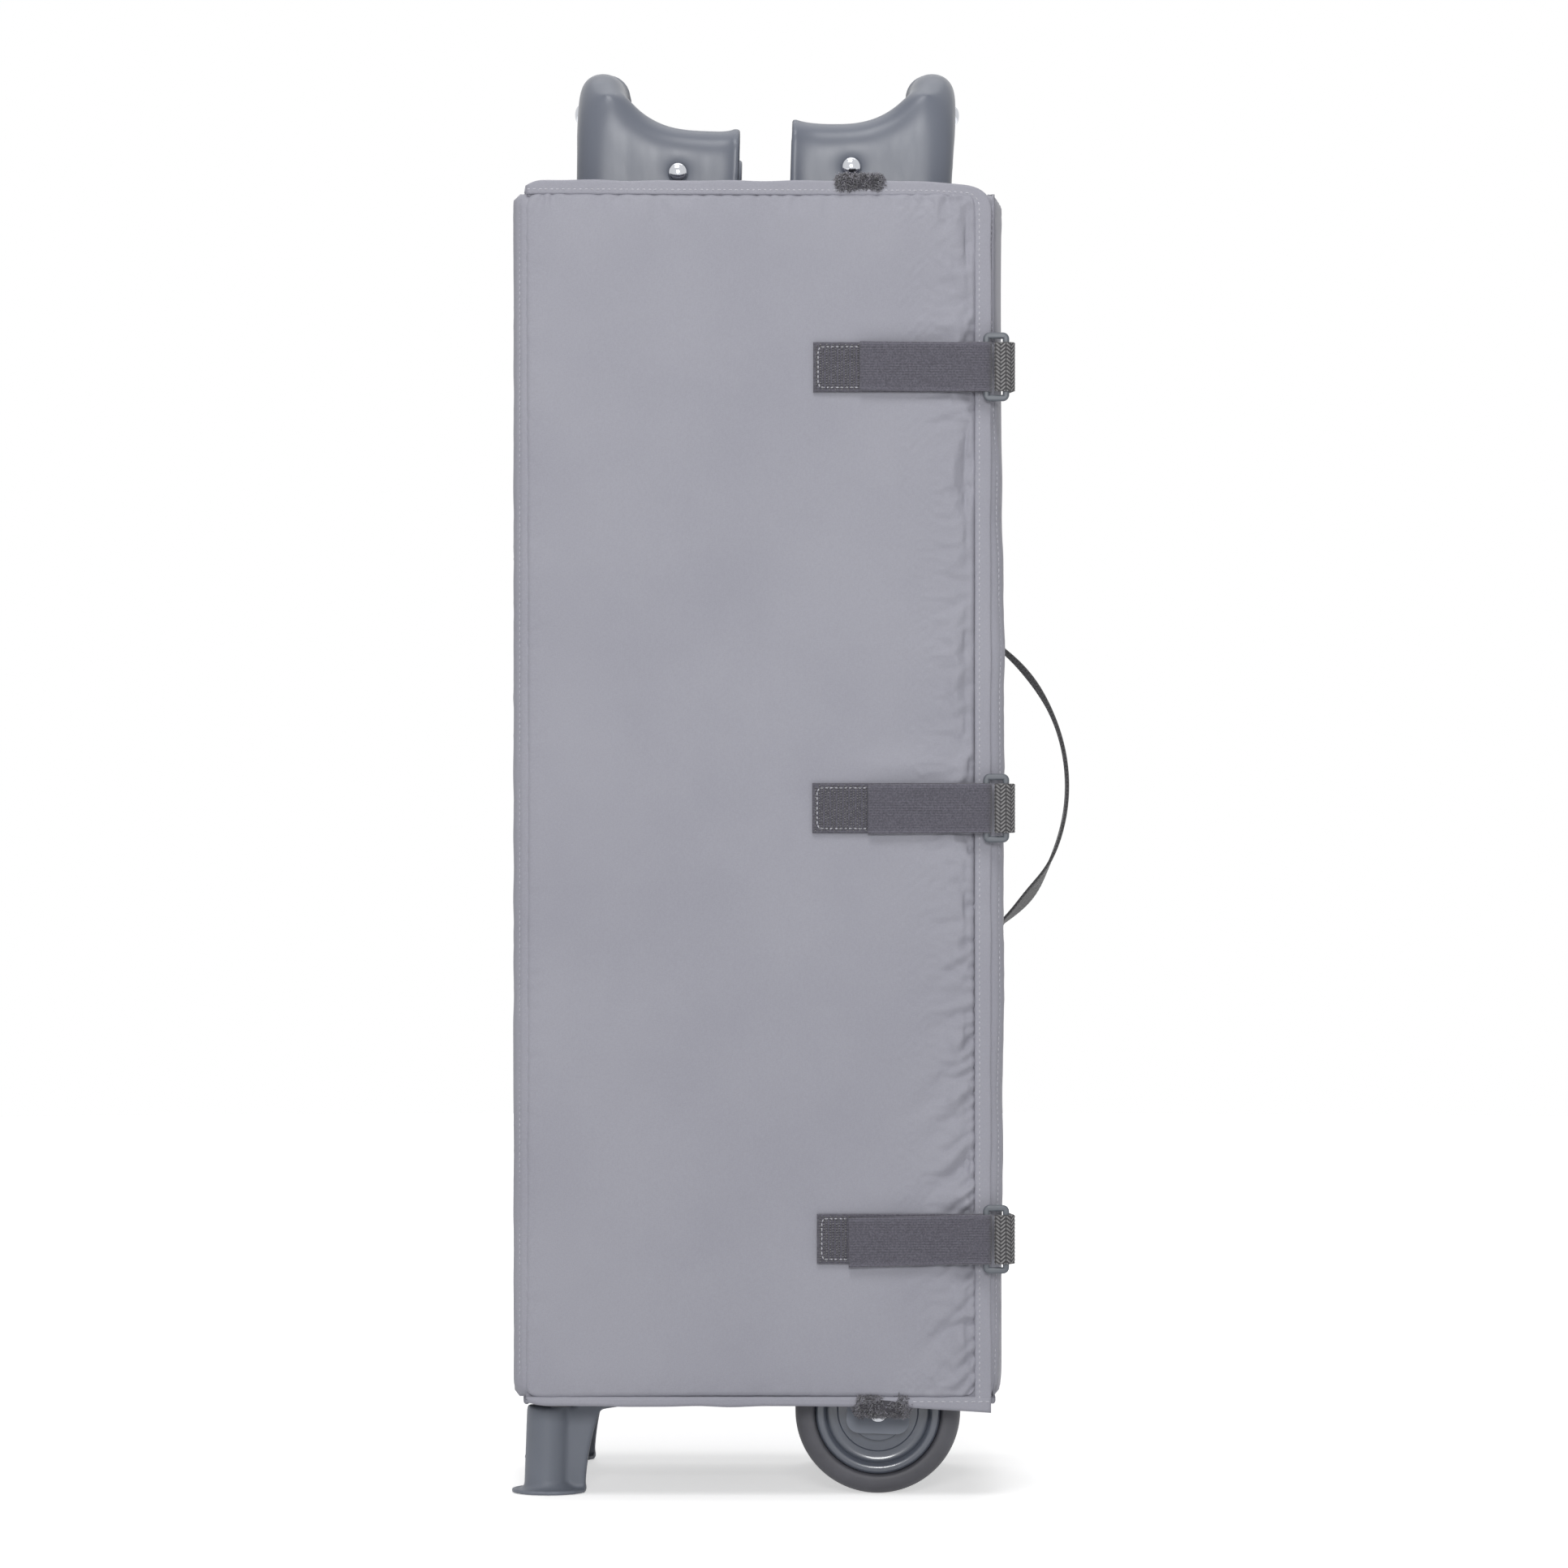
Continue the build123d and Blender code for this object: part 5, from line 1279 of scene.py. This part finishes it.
def mouldings():
    """The corner brackets and the feet."""
    for corner in ("front_left", "front_right", "rear_left", "rear_right"):
        melt_passes = MELT_PASSES if corner.startswith("front") else MELT_PASSES // 3
        melting = bracket_melting(corner)
        node = f"top_bracket_{corner}"
        softened(node, BRACKET_LOOK, BRACKET_EASING, melting, melt_passes)
    for side in ("front", "rear"):
        softened(f"foot_{side}", LEG_LOOK, FOOT_EASING)


# Wheels and rivets


def wheel(name, centre):
    """A stepped rim with a rounded lip, and a plain tyre with soft shoulders."""
    low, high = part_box(f"tyre_{name}")
    radius, half = (high.z - low.z) / 2, (high.y - low.y) / 2
    rim_low, rim_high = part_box(f"wheel_rim_{name}")
    bore = (rim_high.z - rim_low.z) / 2
    lip, step, boss, edge = RIM_LIP, RIM_STEP, RIM_BOSS, RIM_EDGE
    lip_round = (bore - lip) / 2
    lip_side = half - 1 * MM - lip_round
    web, floor = half - RIM_WEB_DEPTH, half - RIM_FLOOR_DEPTH
    side = [(RIM_HOLE, half), (boss - edge, half), (boss, half - edge), (boss, web + edge)]
    side += [(boss + edge, web), (step - edge, web), (step, web - edge), (step, floor + edge)]
    side += [(step + edge, floor), (lip - 0.8 * MM, floor), (lip, floor + 0.8 * MM)]
    side += [
        (lip + lip_round - lip_round * cos(a), lip_side + lip_round * sin(a))
        for a in np.linspace(0, pi, 17)
    ]
    made = wheel_ring(f"rim_{name}", side, centre, RIM_LOOK, f"{name}_wheel")
    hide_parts(f"wheel_rim_{name}")

    shoulder = TYRE_SHOULDER
    inner = bore + 0.05 * MM
    tread = [(inner, half - 2.5 * MM), (inner + 0.5 * MM, half - 0.6 * MM), (inner + 1.4 * MM, half)]
    tread += [
        (radius - shoulder + shoulder * sin(a), half - shoulder + shoulder * cos(a))
        for a in np.linspace(0, pi / 2, 13)
    ]
    made = wheel_ring(f"tread_{name}", tread, centre, TYRE_LOOK, f"{name}_wheel")
    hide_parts(f"tyre_{name}")


def wheel_ring(name, side, centre, look, body):
    """A ring turned about the axle, from the profile of one side and its mirror image."""
    bore = (side[0][0], 0.0)
    profile = [bore, *side, *[(r, -a) for r, a in side[::-1]], bore]
    vertices, faces = turned(profile, centre, (0, 1, 0), WHEEL_SEGMENTS)
    return new_object(name, vertices, faces[:-2], look, body)


def rivets(node, body, look):
    """Turned rivets with smooth domes in place of a CAD node's, each on its own axis."""
    parts = []
    for points in islands(node):
        centre = (points.min(0) + points.max(0)) / 2
        spread = np.linalg.svd(points - points.mean(0), full_matrices=False)[2]
        along = (points - centre) @ spread[0]
        across = np.linalg.norm((points - centre) - np.outer(along, spread[0]), axis=1)
        tip, head = along.max(), across.max()
        shank = np.sort(across[np.abs(along) < tip * 0.9])[0]
        base = tip - RIVET_DOME
        brim, dome = base + RIVET_BRIM, RIVET_DOME - RIVET_BRIM
        side = [(shank, base), (head - 0.2 * MM, base), (head, brim)]
        side += [(head * cos(a), brim + dome * sin(a)) for a in np.linspace(0.1, 1.5, 14)]
        profile = [(r, -a) for r, a in side[::-1]] + side
        parts.append(turned(profile, centre, spread[0], 48))
    vertices, faces = joined(parts)
    made = new_object(f"{node}_turned", vertices, faces, look, body)
    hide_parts(node)


# Cloth inside the folded frame


def wall_cloth():
    """The slack wall cloth of each side, in upright folds between its two half rails."""
    for index, points in enumerate(islands("wall_cloth")):
        low, high = points.min(0), points.max(0)
        along_x = high[0] - low[0] > high[1] - low[1]
        lean = np.tan(FRAME_LEAN)
        tall = high[2] - low[2]
        slide = lean * tall
        width = (high[0] - low[0] - slide) if along_x else (high[1] - low[1])
        middle = (low + high) / 2
        columns = np.linspace(0.02, 0.98, 120)
        rows = np.linspace(0.005, 0.995, 70)
        sheet = []
        for v in rows:
            sway = 0.12 * sin(5 * v + index) + 0.05 * sin(13 * v + 2 * index)
            for c in columns:
                depth = WALL_FOLD_DEPTH + WALL_FOLD_WAVE * sin(7 * v + 9 * c + index)
                fold = sin(pi * WALL_FOLDS * c + sway) * depth
                x = middle[0] + (v - 0.5) * slide
                run = (c - 0.5) * width
                spot = (x + run, middle[1] + fold) if along_x else (x + fold, middle[1] + run)
                sheet.append((*spot, low[2] + v * tall))
        faces = grid_faces(len(rows), len(columns))
        made = new_object(f"wall_cloth_{index}", sheet, faces, LINING_LOOK, "frame")
        thicken(made, LINING_THICK)
        if index == 0:
            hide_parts("wall_cloth")


def floor_cloth():
    """The floor cloth, gathered in deep folds round the middle under the hub."""
    low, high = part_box("floor_cloth")
    lean = np.tan(FRAME_LEAN)
    tall = high.z - low.z
    middle_x, middle_y = (low.x + high.x) / 2, (low.y + high.y) / 2
    turns = np.linspace(0, tau, 240, endpoint=False)
    rows = np.linspace(0.004, 0.985, 60)
    sheet = []
    for v in rows:
        for a in turns:
            reach = FLOOR_REACH + FLOOR_FOLD_DEPTH * sin(FLOOR_FOLDS * a + 0.5 * sin(4 * v))
            reach += FLOOR_FOLD_WAVE * sin(3 * a + 6 * v)
            x = middle_x + (v - 0.5) * lean * tall + reach * cos(a)
            sheet.append((x, middle_y + reach * sin(a), low.z + v * tall))
    faces = grid_faces(len(rows), len(turns), closed=True)
    made = new_object("floor_cloth_gathered", sheet, faces, LINING_LOOK, "frame")
    thicken(made, LINING_THICK)
    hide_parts("floor_cloth")


def thicken(piece, thick):
    """Gives a sheet its thickness, half on each side."""
    solid = piece.modifiers.new("cloth", "SOLIDIFY")
    solid.thickness = thick
    solid.offset = 0


def pull_strap():
    """The loop of webbing that pulls the hub up."""
    low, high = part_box("hub_pull_strap")
    middle, half = (low + high) / 2, (high.x - low.x) / 2 - 1 * MM
    rise = high.z - 1 * MM - half
    arch = [(middle.x + half * cos(a), middle.y, rise + half * sin(a)) for a in np.linspace(pi, 0, 25)]
    left, right = (middle.x - half, middle.y, low.z), (middle.x + half, middle.y, low.z + 0.6 * MM)
    points = resample([left, *arch, right], 1.2 * MM)
    vertices, faces, lift = band(points, (0, 1, 0), high.y - low.y, 1.5 * MM, 33, handle_relief)
    made = new_object("hub_pull_webbing", vertices, faces, HANDLE_LOOK, "frame")
    # The rib heights colour the strap: painted shade between the ribs, painted highlight on them
    keep_relief(made, lift / HANDLE_RELIEF)
    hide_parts("hub_pull_strap")


# CAD nodes that stay as they are, with their finishes


def finish_nodes():
    """Finishes by the start of a node's name; a later line goes over an earlier one."""
    looks = {
        "mattress_boards": BOARD_LOOK,
        "strap_rings": RING_LOOK,
        "post_": PAINT_LOOK,
        "rail_": PAINT_LOOK,
        "base_tube": PAINT_LOOK,
        "wheel_leg": LEG_LOOK,
        "hub": LEG_LOOK,
        "latch_": LEG_LOOK,
        "latch_button": BUTTON_LOOK,
        "latch_rivets": CHROME_LOOK,
        "base_pins": CHROME_LOOK,
    }
    for name, node in frame["nodes"].items():
        for start, look in looks.items():
            if name.startswith(start):
                node.data.materials.clear()
                node.data.materials.append(look)


# Stage


def stage():
    """A round pale floor in white surroundings, soft lights and the camera."""
    turns = np.linspace(0, tau, 96, endpoint=False)
    rim = [(FLOOR_RADIUS * cos(a), FLOOR_RADIUS * sin(a), -0.2 * MM) for a in turns]
    mesh = bpy.data.meshes.new("studio_floor")
    mesh.from_pydata(rim, [], [tuple(range(len(rim)))])
    floor = bpy.data.objects.new("studio_floor", mesh)
    bpy.context.scene.collection.objects.link(floor)
    mesh.materials.append(paper_material())

    for name, place, height, size, power, mirrored in LIGHTS:
        area_light(name, place, (0, 0, height), size, power).visible_glossy = mirrored
    bpy.context.scene.world = studio_world()

    data = bpy.data.cameras.new("camera")
    data.sensor_width = SENSOR
    data.lens = SENSOR * CAMERA_DISTANCE / VIEW_WIDTH
    data.clip_end = 50
    camera = bpy.data.objects.new("camera", data)
    camera.location = (CAMERA_X, FRONT - CAMERA_DISTANCE, CAMERA_Z)
    camera.rotation_euler = (pi / 2, 0, 0)
    bpy.context.scene.collection.objects.link(camera)
    bpy.context.scene.camera = camera
    bpy.context.scene.view_settings.view_transform = "Standard"


def paper_material():
    """Pale paper that takes the object's shadow, and shows white farther out."""
    made = Shader("studio_paper", 0.95, specular=0.0)
    made.bsdf.inputs["Base Color"].default_value = (0.86, 0.86, 0.86, 1)
    made.bsdf.inputs["Emission Color"].default_value = (1, 1, 1, 1)
    length = made.tree.nodes.new("ShaderNodeVectorMath")
    length.operation = "LENGTH"
    made.link(made.coords, length, 0)
    glow = made.tree.nodes.new("ShaderNodeMapRange")
    levels = {"From Min": GLOW_REACH[0], "From Max": GLOW_REACH[1], "To Min": PAPER_GLOW, "To Max": 1.0}
    for socket, value in levels.items():
        glow.inputs[socket].default_value = value
    made.link(length.outputs["Value"], glow, "Value")
    strength = made.math("MULTIPLY", seen_directly(made.tree), glow.outputs["Result"])
    made.link(strength, made.bsdf, "Emission Strength")
    return made.material


def seen_directly(tree):
    """One for what the camera, mirrors and glass show, zero for light that falls on things."""
    path = tree.nodes.new("ShaderNodeLightPath").outputs
    total = path["Is Camera Ray"]
    for name in ("Is Glossy Ray", "Is Transmission Ray"):
        node = tree.nodes.new("ShaderNodeMath")
        node.operation = "MAXIMUM"
        tree.links.new(total, node.inputs[0])
        tree.links.new(path[name], node.inputs[1])
        total = node.outputs["Value"]
    return total


def studio_world():
    """Even white surroundings: full white where seen, softer as light."""
    world = bpy.data.worlds.new("studio")
    world.use_nodes = True
    tree = world.node_tree
    tree.nodes["Background"].inputs["Color"].default_value = (1, 1, 1, 1)
    level = tree.nodes.new("ShaderNodeMapRange")
    level.inputs["To Min"].default_value = WORLD_LIGHT
    level.inputs["To Max"].default_value = 1.0
    tree.links.new(seen_directly(tree), level.inputs["Value"])
    tree.links.new(level.outputs["Result"], tree.nodes["Background"].inputs["Strength"])
    return world


def area_light(name, place, target, size, power):
    """A square soft light that faces its target."""
    data = bpy.data.lights.new(name, "AREA")
    data.shape = "SQUARE"
    data.size = size
    data.energy = power
    lamp = bpy.data.objects.new(name, data)
    lamp.location = place
    way = Vector(target) - Vector(place)
    lamp.rotation_euler = way.to_track_quat("-Z", "Y").to_euler()
    bpy.context.scene.collection.objects.link(lamp)
    return lamp


# The whole object


def build():
    """Every piece in turn; the random draws follow this order."""
    random = np.random.default_rng(SEED)
    stitches = []
    for panel in PANELS.values():
        pad(panel)
        hem(panel)
        stitches += hem_stitches(panel, random)
    stitches += fold_bands(random)
    for place in FLAP_TILT:
        stitches += strap(place, random)
        tab, sewn = ring_tab(place, random)
        stitches += sewn
    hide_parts("ring_tabs")
    stitches += handle(random)
    vertices, faces = joined(stitches)
    new_object("stitches", vertices, faces, THREAD_LOOK, "wrap")
    pile_tabs(random)
    for joint in frame["joints"]:
        if joint.get("continuous"):
            wheel(joint["child"].removesuffix("_wheel"), joint["pos_m"])
    mouldings()
    rivets("rail_rivets", "frame", CHROME_LOOK)
    rivets("axle_rivets", "frame", CHROME_LOOK)
    wall_cloth()
    floor_cloth()
    pull_strap()
    finish_nodes()
    stage()


build()
